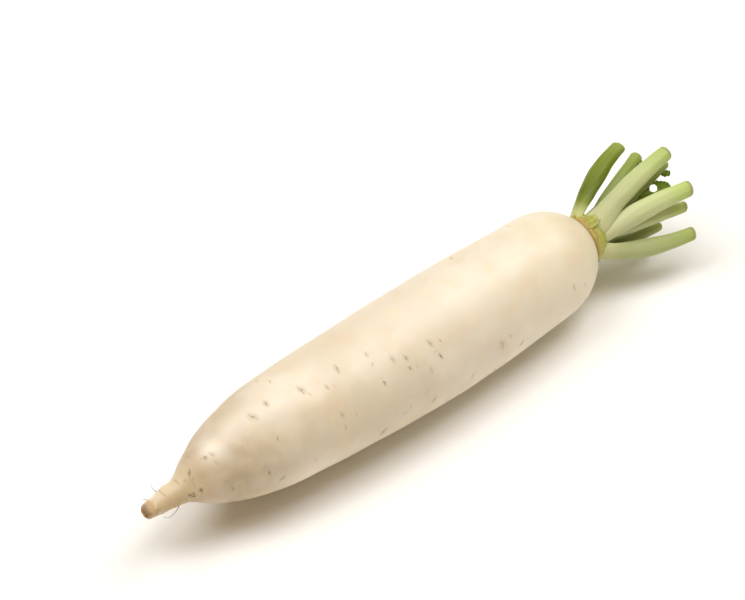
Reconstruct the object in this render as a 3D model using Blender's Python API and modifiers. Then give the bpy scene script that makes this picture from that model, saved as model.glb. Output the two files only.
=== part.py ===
"""A daikon radish with its leaf stalks cut short, lying on its side.

Metres, +Z up. The root points along +X from its thin tip to its leaves and rests on z = 0.
The origin is under the middle of the whole radish's box. Every piece grew on the one plant:
the root, the crown at its top, seven cut leaf stalks and two young leaves.
"""

import math

import bmesh
import bpy
from mathutils import Quaternion, Vector, noise

# The root
ROOT_LENGTH = 0.305
ROOT_RADIUS = 0.0345
ROOT_SIDES = 44
ROOT_RINGS = 40
RING_CROWDING = 0.10  # 0 spaces the rings evenly, and more crowds them at both ends
# Share of the length from the tip, and share of the greatest radius there.
RADIUS_STATIONS = (
    (0.000, 0.108), (0.040, 0.163), (0.080, 0.238), (0.115, 0.450), (0.150, 0.603),
    (0.190, 0.720), (0.250, 0.831), (0.340, 0.895), (0.450, 0.954), (0.600, 1.000),
    (0.720, 0.987), (0.840, 0.932), (1.000, 0.862),
)
SHOULDER_FROM = 0.888  # share of the length at which the shoulder starts to round over
SHOULDER_ROUND = 2.0  # exponent of the shoulder's superellipse, 2 being a true ellipse
# Share of the length, and how far the root's middle is bent there off a straight line.
BEND_STATIONS = ((0.0, 0.0008), (0.15, 0.0015), (0.60, -0.0010), (0.85, -0.0008), (1.0, 0.0005))
BEND_TILT = math.radians(34)  # the plane of that bend, up from the level
OUT_OF_ROUND = 0.010  # share of the radius
OUT_OF_ROUND_TWIST = 5  # radians by which that oval turns from end to end
BODY_FROM, BODY_FULL, BODY_TO = 0.10, 0.30, 0.90  # the shares between which the root is lumpy
LUMP_HEIGHT = 0.0004
LUMP_SIZE = 0.045
REST_DEPTH = 0.0007  # the underside is flat this far up, where the root lies

# The crown, the short stem that carries the leaves
CROWN_RADIUS = 0.0146
CROWN_HEIGHT = 0.0132
CROWN_SIDES = 32
CROWN_RINGS = 8
CROWN_ROUND = 2.2  # exponent of its superellipse
SCAR_RIDGES = 3
SCAR_RIDGE_HEIGHT = 0.0004
JOINT_GAP = 0.0003  # between two pieces that meet

# The leaf stalks. foot, middle and cut are places on a stalk's midline: the distance along +X
# from the crown's foot, the distance from the crown's axis, and the angle round it in degrees,
# 0 up and 90 towards -Y. The sizes are the width and thickness at the foot, halfway and at the
# cut. under names the older stalk whose foot a stalk is pressed against, and roll is the angle
# in degrees by which a stalk has twisted about its own length.
STALKS = {
    "stalk_1": dict(
        foot=(0.007, 0.0100, 16), middle=(0.033, 0.0242, 7), cut=(0.0645, 0.0318, 0),
        foot_size=(0.0158, 0.0062), size=(0.0116, 0.0092), cut_size=(0.0092, 0.0078), roll=20,
    ),
    "stalk_2": dict(
        foot=(0.008, 0.0092, 66), middle=(0.034, 0.0214, 42), cut=(0.0645, 0.0294, 47),
        foot_size=(0.0100, 0.0062), size=(0.0120, 0.0084), cut_size=(0.0096, 0.0072),
        under="stalk_1",
    ),
    "stalk_3": dict(
        foot=(0.004, 0.0104, 108), middle=(0.031, 0.0236, 109), cut=(0.0620, 0.0320, 104),
        foot_size=(0.0142, 0.0088), size=(0.0122, 0.0090), cut_size=(0.0088, 0.0068), roll=-40,
    ),
    "stalk_4": dict(
        foot=(0.004, 0.0100, 174), middle=(0.033, 0.0162, 152), cut=(0.0565, 0.0190, 150),
        foot_size=(0.0098, 0.0054), size=(0.0104, 0.0076), cut_size=(0.0084, 0.0062),
    ),
    "stalk_5": dict(
        foot=(0.004, 0.0100, 236), middle=(0.030, 0.0200, 237), cut=(0.0540, 0.0225, 240),
        foot_size=(0.0100, 0.0054), size=(0.0100, 0.0074), cut_size=(0.0080, 0.0060),
    ),
    "stalk_6": dict(
        foot=(0.003, 0.0106, 299), middle=(0.028, 0.0266, 310), cut=(0.0550, 0.0350, 306),
        foot_size=(0.0134, 0.0066), size=(0.0122, 0.0086), cut_size=(0.0096, 0.0070), roll=40,
    ),
    "stalk_7": dict(
        foot=(0.006, 0.0046, 88), middle=(0.036, 0.0145, 72), cut=(0.0635, 0.0214, 77),
        foot_size=(0.0060, 0.0036), size=(0.0092, 0.0068), cut_size=(0.0074, 0.0056),
    ),
}
STALK_SIDES = 16
STALK_RINGS = 10
INNER_BULGE = 0.55  # the inner face's bulge, as a share of the outer one's
GROOVE = 0.20  # depth of the inner face's groove, as a share of the thickness
GROOVE_WIDTH = 0.40  # share of the width
TWIST_FROM, TWIST_TO = 0.1, 0.6  # the shares of a stalk's length between which it twists
CURL_LOST = 0.8  # share of its curl round the crown that a stalk loses along its length
CURL_FROM, CURL_TO = 0.1, 0.7
SWOLLEN_AT = 0.4  # the share of a stalk's length where it has its middle size
CUT_EDGE = 0.0014  # rounding of the edge at the cut

# The young leaves, with the first small lobes of their blades. lobed is the share of the
# stalk's length that has a blade, lobes how far each lobe reaches to both sides, and cupped
# how far the blade's edge stands above the stalk, or below it.
YOUNG_LEAVES = {
    "young_leaf_1": dict(
        foot=(0.007, 0.0026, 200), middle=(0.036, 0.0106, 22), cut=(0.0660, 0.0216, 2),
        foot_size=(0.0044, 0.0036), size=(0.0046, 0.0038), cut_size=(0.0038, 0.0032),
        blade=dict(lobed=(0.44, 0.985), lobes=(0.0060, 0.0116, 0.0052), cupped=-0.008),
    ),
    "young_leaf_2": dict(
        foot=(0.007, 0.0046, 325), middle=(0.034, 0.0158, 314), cut=(0.0620, 0.0245, 304),
        foot_size=(0.0054, 0.0036), size=(0.0070, 0.0056), cut_size=(0.0060, 0.0050),
        blade=dict(lobed=(0.74, 0.97), lobes=(0.0062, 0.0070), cupped=-0.004),
    ),
}
BLADE_THICKNESS = 0.0008
BLADE_ROWS = 30
BLADE_COLUMNS = 6
BLADE_NOTCH = 0.0019  # how far the blade still reaches between two lobes
BLADE_TEETH = 4  # on each lobe's edge
TOOTH_DEPTH = 0.10  # share of the lobe's reach
LOBE_FULLNESS = 0.8  # 1 makes a lobe a plain sine, and less makes it squarer
LOBE_SWEEP = 0.30  # how far a lobe leans forward, as a share of its reach
BLADE_WAVE = 0.0011


def clear_scene():
    for obj in list(bpy.data.objects):
        bpy.data.objects.remove(obj, do_unlink=True)


def collection(name, shown=True):
    made = bpy.data.collections.new(name)
    made.hide_render = not shown
    bpy.context.scene.collection.children.link(made)
    return made


def material(name, colour, roughness):
    made = bpy.data.materials.new(name)
    made.use_nodes = True
    shader = made.node_tree.nodes["Principled BSDF"]
    shader.inputs["Base Color"].default_value = (*colour, 1.0)
    shader.inputs["Roughness"].default_value = roughness
    shader.inputs["Metallic"].default_value = 0.0
    return made


def finish(obj, finish_material):
    obj.data.materials.clear()
    obj.data.materials.append(finish_material)
    obj.data.shade_smooth()
    obj.data.set_sharp_from_angle(angle=math.radians(50))


def smoothstep(low, high, value):
    share = min(1.0, max(0.0, (value - low) / (high - low)))
    return share * share * (3 - 2 * share)


def blend(start, end, share):
    return start + (end - start) * share


def through(stations, at):
    """The smooth curve through (place, value) stations, each joined to the next by a cubic."""
    last = len(stations) - 1
    i = max(0, min(last - 1, sum(place <= at for place, _ in stations) - 1))

    def slope(k):
        before, after = stations[max(0, k - 1)], stations[min(last, k + 1)]
        return (after[1] - before[1]) / (after[0] - before[0])

    (x0, y0), (x1, y1) = stations[i], stations[i + 1]
    width = x1 - x0
    t = min(1.0, max(0.0, (at - x0) / width))
    start = y0 * (1 + 2 * t) * (1 - t) ** 2 + slope(i) * width * t * (1 - t) ** 2
    return start + y1 * t * t * (3 - 2 * t) + slope(i + 1) * width * t * t * (t - 1)


def as_object(name, mesh, parts):
    obj = bpy.data.objects.new(name, mesh)
    parts.objects.link(obj)
    return obj


def evaluated_mesh(obj):
    graph = bpy.context.evaluated_depsgraph_get()
    return bpy.data.meshes.new_from_object(obj.evaluated_get(graph))


def turned(name, profile, steps, parts):
    """A Screw of (x, radius) points about the X axis, made a mesh."""
    mesh = bpy.data.meshes.new(name)
    edges = [(i, i + 1) for i in range(len(profile) - 1)]
    mesh.from_pydata([(x, 0.0, radius) for x, radius in profile], edges, [])
    obj = as_object(name, mesh, parts)
    screw = obj.modifiers.new("Turn", "SCREW")
    screw.axis = "X"
    screw.steps = screw.render_steps = steps
    screw.use_normal_flip = True
    screw.use_merge_vertices = True
    screw.merge_threshold = 0.00001
    solid = evaluated_mesh(obj)
    obj.modifiers.clear()
    obj.data = solid
    bpy.data.meshes.remove(mesh)
    return obj


def root_radius(share):
    radius = ROOT_RADIUS * through(RADIUS_STATIONS, share)
    over = max(0.0, share - SHOULDER_FROM) / (1 - SHOULDER_FROM)
    return radius * (1 - over**SHOULDER_ROUND) ** (1 / SHOULDER_ROUND)


def root_axis(share):
    """The middle of the root at a share of its length."""
    bend = through(BEND_STATIONS, share)
    height = ROOT_RADIUS - REST_DEPTH + bend * math.sin(BEND_TILT)
    return Vector((share * ROOT_LENGTH, bend * math.cos(BEND_TILT), height))


def crown_share():
    """The share of the root's length at which its shoulder has closed in to the crown."""
    share = 1.0
    while root_radius(share) < CROWN_RADIUS:
        share -= 0.0005
    return share


def build_root(parts, skin):
    end = crown_share()
    profile = [(0.0, 0.0)]
    for i in range(ROOT_RINGS + 1):
        t = i / ROOT_RINGS
        share = end * (t - RING_CROWDING * math.sin(2 * math.pi * t))
        profile.append((share * ROOT_LENGTH, root_radius(share)))
    profile.append((end * ROOT_LENGTH, 0.0))
    root = turned("root", profile, ROOT_SIDES, parts)
    for vertex in root.data.vertices:
        point = vertex.co
        share = point.x / ROOT_LENGTH
        angle = math.atan2(point.z, point.y)
        body = smoothstep(BODY_FROM, BODY_FULL, share) * (1 - smoothstep(BODY_TO, end, share))
        lump = LUMP_HEIGHT / ROOT_RADIUS * noise.noise(point / LUMP_SIZE)
        oval = OUT_OF_ROUND * math.sin(2 * angle + OUT_OF_ROUND_TWIST * share)
        swell = 1 + body * (lump + oval)
        middle = root_axis(share)
        point.y = middle.y + point.y * swell
        point.z = max(0.0, middle.z + point.z * swell)
    finish(root, skin)


def crown_radius(along):
    """The crown's radius at a share of its height."""
    return CROWN_RADIUS * max(0.0, 1 - along**CROWN_ROUND) ** (1 / CROWN_ROUND)


def crown_foot():
    return root_axis(crown_share()) + Vector((JOINT_GAP, 0.0, 0.0))


def build_crown(parts, skin):
    profile = [(0.0, 0.0)]
    for i in range(CROWN_RINGS + 1):
        along = math.sin(0.5 * math.pi * i / CROWN_RINGS)
        ridge = SCAR_RIDGE_HEIGHT * math.sin(2 * math.pi * SCAR_RIDGES * along) ** 2
        radius = crown_radius(along) - ridge if i < CROWN_RINGS else 0.0
        profile.append((along * CROWN_HEIGHT, radius))
    crown = turned("crown", profile, CROWN_SIDES, parts)
    crown.location = crown_foot()
    finish(crown, skin)


def build_crown_cutter(cutters, skin):
    """The crown without ridges and grown by the gap, with the room behind it."""
    profile = [(-CROWN_HEIGHT, 0.0), (-CROWN_HEIGHT, CROWN_RADIUS + JOINT_GAP)]
    for i in range(CROWN_RINGS):
        along = math.sin(0.5 * math.pi * i / CROWN_RINGS)
        profile.append((along * (CROWN_HEIGHT + JOINT_GAP), crown_radius(along) + JOINT_GAP))
    profile.append((CROWN_HEIGHT + JOINT_GAP, 0.0))
    cutter = turned("crown_cutter", profile, CROWN_SIDES, cutters)
    cutter.location = crown_foot()
    cutter.hide_render = True
    cutter.display_type = "WIRE"
    finish(cutter, skin)
    return cutter


def outward(turn):
    angle = math.radians(turn)
    return Vector((0.0, -math.sin(angle), math.cos(angle)))


def near_crown(place):
    along, spread, turn = place
    return crown_foot() + Vector((along, 0.0, 0.0)) + outward(turn) * spread


def stalk_line(foot, middle, cut, roll=0):
    """A function giving the point, tangent, side and outward directions at 0 to 1."""
    start, half, end = near_crown(foot), near_crown(middle), near_crown(cut)
    bent = half * 2 - (start + end) / 2
    axis = crown_foot()

    def at(t):
        point = start.lerp(bent, t).lerp(bent.lerp(end, t), t)
        ahead = (bent.lerp(end, t) - start.lerp(bent, t)).normalized()
        away = Vector((0.0, point.y - axis.y, point.z - axis.z))
        side = away.cross(ahead).normalized()
        side.rotate(Quaternion(ahead, math.radians(roll) * smoothstep(TWIST_FROM, TWIST_TO, t)))
        return point, ahead, side, ahead.cross(side)

    return at


def stalk_section(width, thickness, curl):
    """A leaf stalk's section: round outside, flatter with a groove inside, and curled in."""
    points = []
    for i in range(STALK_SIDES):
        angle = 2 * math.pi * i / STALK_SIDES
        across = math.cos(angle) * width / 2
        out = math.sin(angle) * thickness / 2
        if out < 0:
            groove = math.exp(-((math.cos(angle) / GROOVE_WIDTH) ** 2))
            out = out * INNER_BULGE + GROOVE * thickness * groove
        points.append((across, out - curl * across * across / 2))
    return points


def loft(name, rings, parts):
    """A solid through rings of points, closed at both ends."""
    shape = bmesh.new()
    rows = [[shape.verts.new(point) for point in ring] for ring in rings]
    for low, high in zip(rows, rows[1:]):
        for i in range(len(low)):
            j = (i + 1) % len(low)
            shape.faces.new((low[i], low[j], high[j], high[i]))
    shape.faces.new(rows[0][::-1])
    shape.faces.new(rows[-1])
    bmesh.ops.recalc_face_normals(shape, faces=shape.faces)
    mesh = bpy.data.meshes.new(name)
    shape.to_mesh(mesh)
    shape.free()
    return as_object(name, mesh, parts)


def build_stalk_solid(name, parts, at, foot_spread, sizes, grown=0.0):
    foot_size, size, cut_size = sizes
    rings = []
    steps = [(i / STALK_RINGS, 0.0) for i in range(STALK_RINGS)]
    for t, inset in steps + [(1.0, 0.0), (1.0, 0.3), (1.0, 1.0)]:
        point, ahead, side, out = at(t)
        narrowed = smoothstep(SWOLLEN_AT, 1.0, t)
        width, thickness = (
            blend(blend(low, wide, smoothstep(0.0, SWOLLEN_AT, t)), end, narrowed)
            + 2 * (grown - inset * CUT_EDGE)
            for low, wide, end in zip(foot_size, size, cut_size)
        )
        if t == 1.0:
            point = point - ahead * CUT_EDGE * math.sqrt(1 - inset)
        curl = (1 - CURL_LOST * smoothstep(CURL_FROM, CURL_TO, t)) / foot_spread
        section = stalk_section(width, thickness, min(curl, 1 / width))
        rings.append([point + side * across + out * up for across, up in section])
    return loft(name, rings, parts)


def combine(obj, operation, other, solver="EXACT"):
    cut = obj.modifiers.new(operation.capitalize(), "BOOLEAN")
    cut.operation = operation
    cut.solver = solver
    cut.object = other


def build_stalk(name, parts, cutters, skin, seat, shape, pressed_on):
    at = stalk_line(shape["foot"], shape["middle"], shape["cut"], shape.get("roll", 0))
    sizes = shape["foot_size"], shape["size"], shape["cut_size"]
    stalk = build_stalk_solid(name, parts, at, shape["foot"][1], sizes)
    combine(stalk, "DIFFERENCE", seat)
    finish(stalk, skin)
    if pressed_on:
        cutter = name + "_grown"
        grown = build_stalk_solid(cutter, cutters, at, shape["foot"][1], sizes, JOINT_GAP)
        grown.hide_render = True
        grown.display_type = "WIRE"
    if "under" in shape:
        # EXACT leaves nothing of a stalk cut by another stalk, and MANIFOLD cuts it right.
        combine(stalk, "DIFFERENCE", cutters.objects[shape["under"] + "_grown"], "MANIFOLD")


def lobe_reach(t, lobes):
    """How far a lobed blade reaches to the side at 0 to 1 of its length."""
    lobe = min(int(t * len(lobes)), len(lobes) - 1)
    inside = t * len(lobes) - lobe
    full = math.sin(math.pi * inside) ** LOBE_FULLNESS
    teeth = 1 - TOOTH_DEPTH * abs(math.sin(math.pi * inside * BLADE_TEETH))
    return blend(BLADE_NOTCH, lobes[lobe], full * teeth)


def build_blade(name, parts, at, lobed, lobes, cupped):
    """The waved, lobed blade on both sides of a young leaf's stalk."""
    shape = bmesh.new()
    rows = []
    for i in range(BLADE_ROWS + 1):
        t = i / BLADE_ROWS
        point, ahead, side, out = at(blend(*lobed, t))
        reach = lobe_reach(t, lobes)
        row = []
        for j in range(BLADE_COLUMNS + 1):
            across = 2 * j / BLADE_COLUMNS - 1
            wave = BLADE_WAVE * math.sin(4 * math.pi * len(lobes) * t + 2 * across) * abs(across)
            lift = cupped * across * across * reach / max(lobes) + wave
            spread = side * across * reach + ahead * LOBE_SWEEP * abs(across) * reach
            row.append(shape.verts.new(point + spread + out * lift))
        rows.append(row)
    for low, high in zip(rows, rows[1:]):
        for j in range(BLADE_COLUMNS):
            shape.faces.new((low[j], low[j + 1], high[j + 1], high[j]))
    bmesh.ops.triangulate(shape, faces=shape.faces)
    mesh = bpy.data.meshes.new(name)
    shape.to_mesh(mesh)
    shape.free()
    blade = as_object(name, mesh, parts)
    shell = blade.modifiers.new("Thickness", "SOLIDIFY")
    shell.thickness = BLADE_THICKNESS
    shell.offset = 0.0
    return blade


def build_young_leaf(name, parts, cutters, skin, seat, shape):
    at = stalk_line(shape["foot"], shape["middle"], shape["cut"])
    sizes = shape["foot_size"], shape["size"], shape["cut_size"]
    leaf = build_stalk_solid(name, parts, at, 1.0, sizes)
    sheet = build_blade(name + "_blade", cutters, at, **shape["blade"])
    # EXACT leaves the thin waved blade open, and MANIFOLD closes it.
    combine(leaf, "UNION", sheet, "MANIFOLD")
    combine(leaf, "DIFFERENCE", seat, "MANIFOLD")
    leaf.data = evaluated_mesh(leaf)
    leaf.modifiers.clear()
    bpy.data.objects.remove(sheet, do_unlink=True)
    finish(leaf, skin)


def stand_on_origin(parts):
    """Parent every piece to an empty that puts the box's bottom middle at the origin."""
    bpy.context.view_layer.update()
    graph = bpy.context.evaluated_depsgraph_get()
    corners = []
    for obj in parts.objects:
        shown = obj.evaluated_get(graph)
        corners += [obj.matrix_world @ vertex.co for vertex in shown.data.vertices]
    holder = bpy.data.objects.new("radish", None)
    bpy.context.scene.collection.objects.link(holder)
    for axis in range(2):
        values = [corner[axis] for corner in corners]
        holder.location[axis] = -(min(values) + max(values)) / 2
    return holder


def build():
    clear_scene()
    daikon = collection("daikon")
    cutters = collection("cutters", shown=False)
    root_skin = material("root_skin", (0.90, 0.83, 0.68), 0.45)
    crown_skin = material("crown_skin", (0.72, 0.68, 0.34), 0.60)
    stalk_skin = material("stalk_skin", (0.62, 0.72, 0.38), 0.40)
    leaf_skin = material("leaf_skin", (0.16, 0.27, 0.05), 0.50)
    build_root(daikon, root_skin)
    build_crown(daikon, crown_skin)
    seat = build_crown_cutter(cutters, crown_skin)
    older = {shape.get("under") for shape in STALKS.values()}
    for name, shape in STALKS.items():
        build_stalk(name, daikon, cutters, stalk_skin, seat, shape, name in older)
    for name, shape in YOUNG_LEAVES.items():
        build_young_leaf(name, daikon, cutters, leaf_skin, seat, shape)
    holder = stand_on_origin(daikon)
    for obj in list(daikon.objects) + list(cutters.objects):
        obj.parent = holder


build()
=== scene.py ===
import math
import random

import bpy
import numpy as np
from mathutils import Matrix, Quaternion, Vector, noise


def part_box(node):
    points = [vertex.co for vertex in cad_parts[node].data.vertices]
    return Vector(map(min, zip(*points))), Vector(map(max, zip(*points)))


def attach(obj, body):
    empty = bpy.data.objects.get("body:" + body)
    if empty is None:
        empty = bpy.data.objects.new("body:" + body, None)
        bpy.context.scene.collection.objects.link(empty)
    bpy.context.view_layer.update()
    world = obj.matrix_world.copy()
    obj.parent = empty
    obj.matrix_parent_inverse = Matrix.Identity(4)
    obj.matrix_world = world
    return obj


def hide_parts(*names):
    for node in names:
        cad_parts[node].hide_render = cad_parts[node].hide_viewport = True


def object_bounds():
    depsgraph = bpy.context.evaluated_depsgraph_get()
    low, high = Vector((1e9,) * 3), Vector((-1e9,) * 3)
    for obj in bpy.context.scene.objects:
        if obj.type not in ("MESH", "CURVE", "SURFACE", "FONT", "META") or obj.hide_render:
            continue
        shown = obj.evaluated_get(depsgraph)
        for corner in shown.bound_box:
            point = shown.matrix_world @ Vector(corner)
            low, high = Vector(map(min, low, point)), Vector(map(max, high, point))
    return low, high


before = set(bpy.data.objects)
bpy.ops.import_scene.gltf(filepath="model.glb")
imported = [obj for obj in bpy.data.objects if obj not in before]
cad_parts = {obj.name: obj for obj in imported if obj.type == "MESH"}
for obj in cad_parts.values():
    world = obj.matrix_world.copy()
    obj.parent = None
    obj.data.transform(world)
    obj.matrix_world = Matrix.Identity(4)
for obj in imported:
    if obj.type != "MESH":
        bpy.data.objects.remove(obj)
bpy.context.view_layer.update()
print("frame loaded:", ", ".join(sorted(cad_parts)))

millimetre = 0.001


# --- small helpers ---


def linearColour(code):
    # an sRGB hex colour as the linear values that Blender's sockets hold
    parts = [int(code[i : i + 2], 16) / 255 for i in (0, 2, 4)]
    linear = [c / 12.92 if c <= 0.04045 else ((c + 0.055) / 1.055) ** 2.4 for c in parts]
    return (*linear, 1.0)


def smoothStep(low, high, value):
    share = np.clip((value - low) / (high - low), 0.0, 1.0)
    return share * share * (3 - 2 * share)


def between(start, end, share):
    return start + (end - start) * share


def smoothThrough(stations, at):
    # the smooth curve through (place, value) stations, for numbers or arrays
    places, values = np.array(stations, dtype=float).T
    slopes = np.empty_like(values)
    slopes[1:-1] = (values[2:] - values[:-2]) / (places[2:] - places[:-2])
    slopes[0] = (values[1] - values[0]) / (places[1] - places[0])
    slopes[-1] = (values[-1] - values[-2]) / (places[-1] - places[-2])
    i = np.clip(np.searchsorted(places, at, side="right") - 1, 0, len(places) - 2)
    width = places[i + 1] - places[i]
    t = np.clip((at - places[i]) / width, 0.0, 1.0)
    start = values[i] * (1 + 2 * t) * (1 - t) ** 2 + slopes[i] * width * t * (1 - t) ** 2
    return start + values[i + 1] * t * t * (3 - 2 * t) + slopes[i + 1] * width * t * t * (t - 1)


def addNode(tree, kind, settings=None, values=None, links=None):
    # settings are the node's own, values go to its sockets, and links come from another node's
    # first live output, or from the very socket that is given
    node = tree.nodes.new("ShaderNode" + kind)
    for name, value in (settings or {}).items():
        setattr(node, name, value)
    for socket, value in (values or {}).items():
        node.inputs[socket].default_value = value
    for socket, origin in (links or {}).items():
        if isinstance(origin, bpy.types.Node):
            origin = next(output for output in origin.outputs if output.enabled)
        tree.links.new(origin, node.inputs[socket])
    return node


# settings that many nodes share
smooth = {"interpolation_type": "SMOOTHSTEP"}
multiply = {"operation": "MULTIPLY"}
multiplyAdd = {"operation": "MULTIPLY_ADD"}
clamped = {"operation": "MULTIPLY", "use_clamp": True}
colourMix = {"data_type": "RGBA"}


def colourStops(ramp, stops):
    # fills a colour ramp from (place, hex colour) stops
    elements = ramp.color_ramp.elements
    while len(elements) < len(stops):
        elements.new(0.5)
    for element, (position, code) in zip(elements, stops):
        element.position, element.color = position, linearColour(code)


def newFinish(name, *measures):
    # an empty material and what it reads from its piece: place is in metres, grain is a place
    # within the tissue, and the others are numbers that the mesh holds at each point
    finish = bpy.data.materials.new(name)
    finish.use_nodes = True
    tree = finish.node_tree
    tree.nodes.clear()
    read = []
    for label in measures:
        if label == "place":
            read.append(addNode(tree, "TexCoord").outputs["Object"])
        else:
            measure = addNode(tree, "Attribute", {"attribute_name": label})
            read.append(measure.outputs["Vector" if label == "grain" else "Fac"])
    return finish, tree, *read


def layColours(tree, base, layers):
    # lays each colour over those before it, as far as its own amount says
    for code, amount in layers:
        base = addNode(tree, "Mix", colourMix, {7: linearColour(code)}, {0: amount, 6: base})
    return base


def closeFinish(tree, colour, height, strength, depth, values):
    # the fine relief, the surface and the output that end a material
    relief = {"Strength": strength, "Distance": depth}
    bump = addNode(tree, "Bump", None, relief, {"Height": height})
    surface = addNode(tree, "BsdfPrincipled", None, values, {"Base Color": colour, "Normal": bump})
    addNode(tree, "OutputMaterial", links={"Surface": surface})


def tubeFaces(rings, sides, firstPoint=0):
    # quads between rings of points, each ring closed round
    ring, side = np.meshgrid(np.arange(rings - 1), np.arange(sides), indexing="ij")
    following = (side + 1) % sides
    low = firstPoint + ring * sides
    corners = (low + side, low + following, low + sides + following, low + sides + side)
    return np.stack(corners, -1).reshape(-1, 4).tolist()


def endFaces(rings, sides):
    # triangles from a tube's last and first rings to the two points that close its ends
    count, last = rings * sides, (rings - 1) * sides
    faces = []
    for k in range(sides):
        following = (k + 1) % sides
        faces += [(last + k, last + following, count), (following, k, count + 1)]
    return faces


def sheetFaces(grid):
    # quads between the points of a grid
    return np.stack([grid[:-1, :-1], grid[:-1, 1:], grid[1:, 1:], grid[1:, :-1]], -1)


def meshPiece(name, points, faces, finishes, finishOf=None, measures=None):
    # a smooth mesh with its finishes, and measures that its materials read
    mesh = bpy.data.meshes.new(name)
    mesh.from_pydata([tuple(p) for p in points], [], faces)
    for finish in finishes:
        mesh.materials.append(finish)
    if finishOf is not None:
        mesh.polygons.foreach_set("material_index", np.array(finishOf, dtype=np.int32))
    for label, data in (measures or {}).items():
        data = np.array(data, dtype=np.float32)
        kind, field = ("FLOAT_VECTOR", "vector") if data.ndim == 2 else ("FLOAT", "value")
        mesh.attributes.new(label, kind, "POINT").data.foreach_set(field, data.ravel())
    mesh.shade_smooth()
    mesh.validate()
    piece = bpy.data.objects.new(name, mesh)
    bpy.context.scene.collection.objects.link(piece)
    return piece


def growsOn(piece, node):
    # every piece grew on the one plant, so all of them ride on the one body
    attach(piece, "root")
    if node:
        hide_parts(node)


# --- camera ---

cameraValues = {
    "turn": -38.7,  # degrees round the radish, 0 looking along +Y
    "height": 49.4,  # degrees above the level
    "distance": 1.152,
    "aim": (-0.0033, 0.0406, 0.0),  # off the middle of the radish's box
    "lens": 100.0,
}


def setCamera():
    v = cameraValues
    turn, height = math.radians(v["turn"]), math.radians(v["height"])
    low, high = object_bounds()
    level = math.cos(height)
    back = Vector((math.sin(turn) * level, -math.cos(turn) * level, math.sin(height)))
    camera = bpy.data.objects.new("studioCamera", bpy.data.cameras.new("studioCamera"))
    camera.data.lens = v["lens"]
    camera.data.sensor_width = 36.0
    camera.data.clip_start, camera.data.clip_end = 0.05, 50.0
    camera.location = (low + high) / 2 + Vector(v["aim"]) + back * v["distance"]
    camera.rotation_euler = (math.radians(90 - v["height"]), 0.0, turn)
    bpy.context.scene.collection.objects.link(camera)
    bpy.context.scene.camera = camera


setCamera()
print("camera set")


# --- root skin: a washed daikon, thin smooth living skin over wet white flesh ---

# Places on the root are (mm from the tip, degrees round it with 0 up and 90 to -Y).
# A scar is where a side root broke off: a short slit across the root, with pale lips and a
# tan stain round it. Each has its place, half its length in mm, its darkness, its tilt in
# degrees, and, where it is rounder, how narrow it is along the root, with 1 for a slit.
scarValues = {
    "placed": (
        (38.0, 8, 0.8, 0.85, 0, 0.60), (36.2, 4, 0.6, 0.50, 60), (28.6, 5, 1.2, 0.85, -35),
        (24.8, 12, 0.6, 0.45, -30), (41.2, 12, 1.5, 0.38, 12), (40.5, 26, 1.4, 0.32, 15),
        (68.8, 5, 2.4, 0.55, 20), (78.4, 1, 1.8, 0.60, 0), (97.7, 10, 2.2, 0.60, 12),
        (99.9, 18, 1.0, 0.45, 0), (109.8, 21, 1.3, 0.60, 5), (113.5, 24, 0.6, 0.35, 0),
        (107.5, 13, 0.6, 0.30, 0), (120.3, 11, 1.8, 0.60, -5), (138.1, 14, 1.4, 0.55, 0),
        (137.4, 25, 0.9, 0.50, -30), (148.3, 31, 2.2, 0.35, 0), (155.2, 36, 1.5, 0.60, 10),
        (154.4, 46, 0.55, 1.35, 0, 0.60), (158.6, 47, 0.7, 0.45, 0), (171.4, 36, 1.7, 0.60, 15),
        (177.2, 38, 0.8, 0.55, 0), (173.2, 50, 1.3, 0.85, 15), (165.1, 57, 1.9, 0.30, 0),
        (137.8, 46, 1.2, 0.70, 0), (109.2, 52, 1.5, 0.55, 15), (116.5, 58, 0.8, 0.35, 0),
        (108.3, 65, 1.2, 0.35, 0), (130.0, 96, 2.4, 0.75, -35), (158.8, 76, 1.4, 0.18, -60),
        (148.2, 82, 0.8, 0.40, 0), (144.1, 85, 2.2, 0.18, -65), (163.0, 90, 1.8, 0.60, -40),
        (72.7, 40, 1.0, 0.45, 0), (62.0, 73, 1.4, 0.80, 0), (67.7, 89, 1.8, 0.50, -45),
        (70.0, 66, 0.7, 0.40, 0), (42.5, 78, 1.6, 0.50, 15), (87.8, 84, 0.9, 0.35, 0),
        (190.1, 90, 1.6, 0.50, -40), (211.7, 75, 2.6, 0.40, 8), (217.9, 72, 1.0, 0.50, 0),
        (226.1, 91, 1.6, 0.75, -40), (268.1, 68, 1.6, 0.35, 10), (276.5, 76, 1.4, 0.30, 5),
        (23.6, 72, 0.9, 1.30, 0, 0.50), (25.2, 79, 1.0, 1.30, 20, 0.50),
        (25.6, 67, 0.7, 0.75, 0, 0.60), (29.0, 63, 1.0, 1.25, 15, 0.60),
        (12.4, -40, 0.6, 0.90, 0, 0.60),
        (28.8, 72, 0.6, 0.80, 0, 0.60), (21.2, 86, 1.2, 0.60, 40), (28.4, 25, 0.6, 0.55, 0),
    ),
    # the others are drawn at random: in two rows down the far side, and loose between them
    "rows": (215, 262),  # degrees round the root
    "rowSpread": 7,
    "inRows": 30,
    "loose": 44,
    "looseRound": (100, 345),
    "alongRoot": (36, 285),
    "small": (0.5, 1.2),
    "large": (1.2, 2.2),  # every third one
    "dark": (0.25, 0.75),
    "tiltSpread": 14,
    "seed": 11,
    "reach": 2.9,  # how far a scar's marks go, in halves of its length
    "spare": 1.3,  # mm between the marks of two scars in one layer
    "layers": 4,  # scars that lie close together are drawn in separate layers
    "depth": 0.10,  # of the dimple, in halves of the scar's length
}

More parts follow.
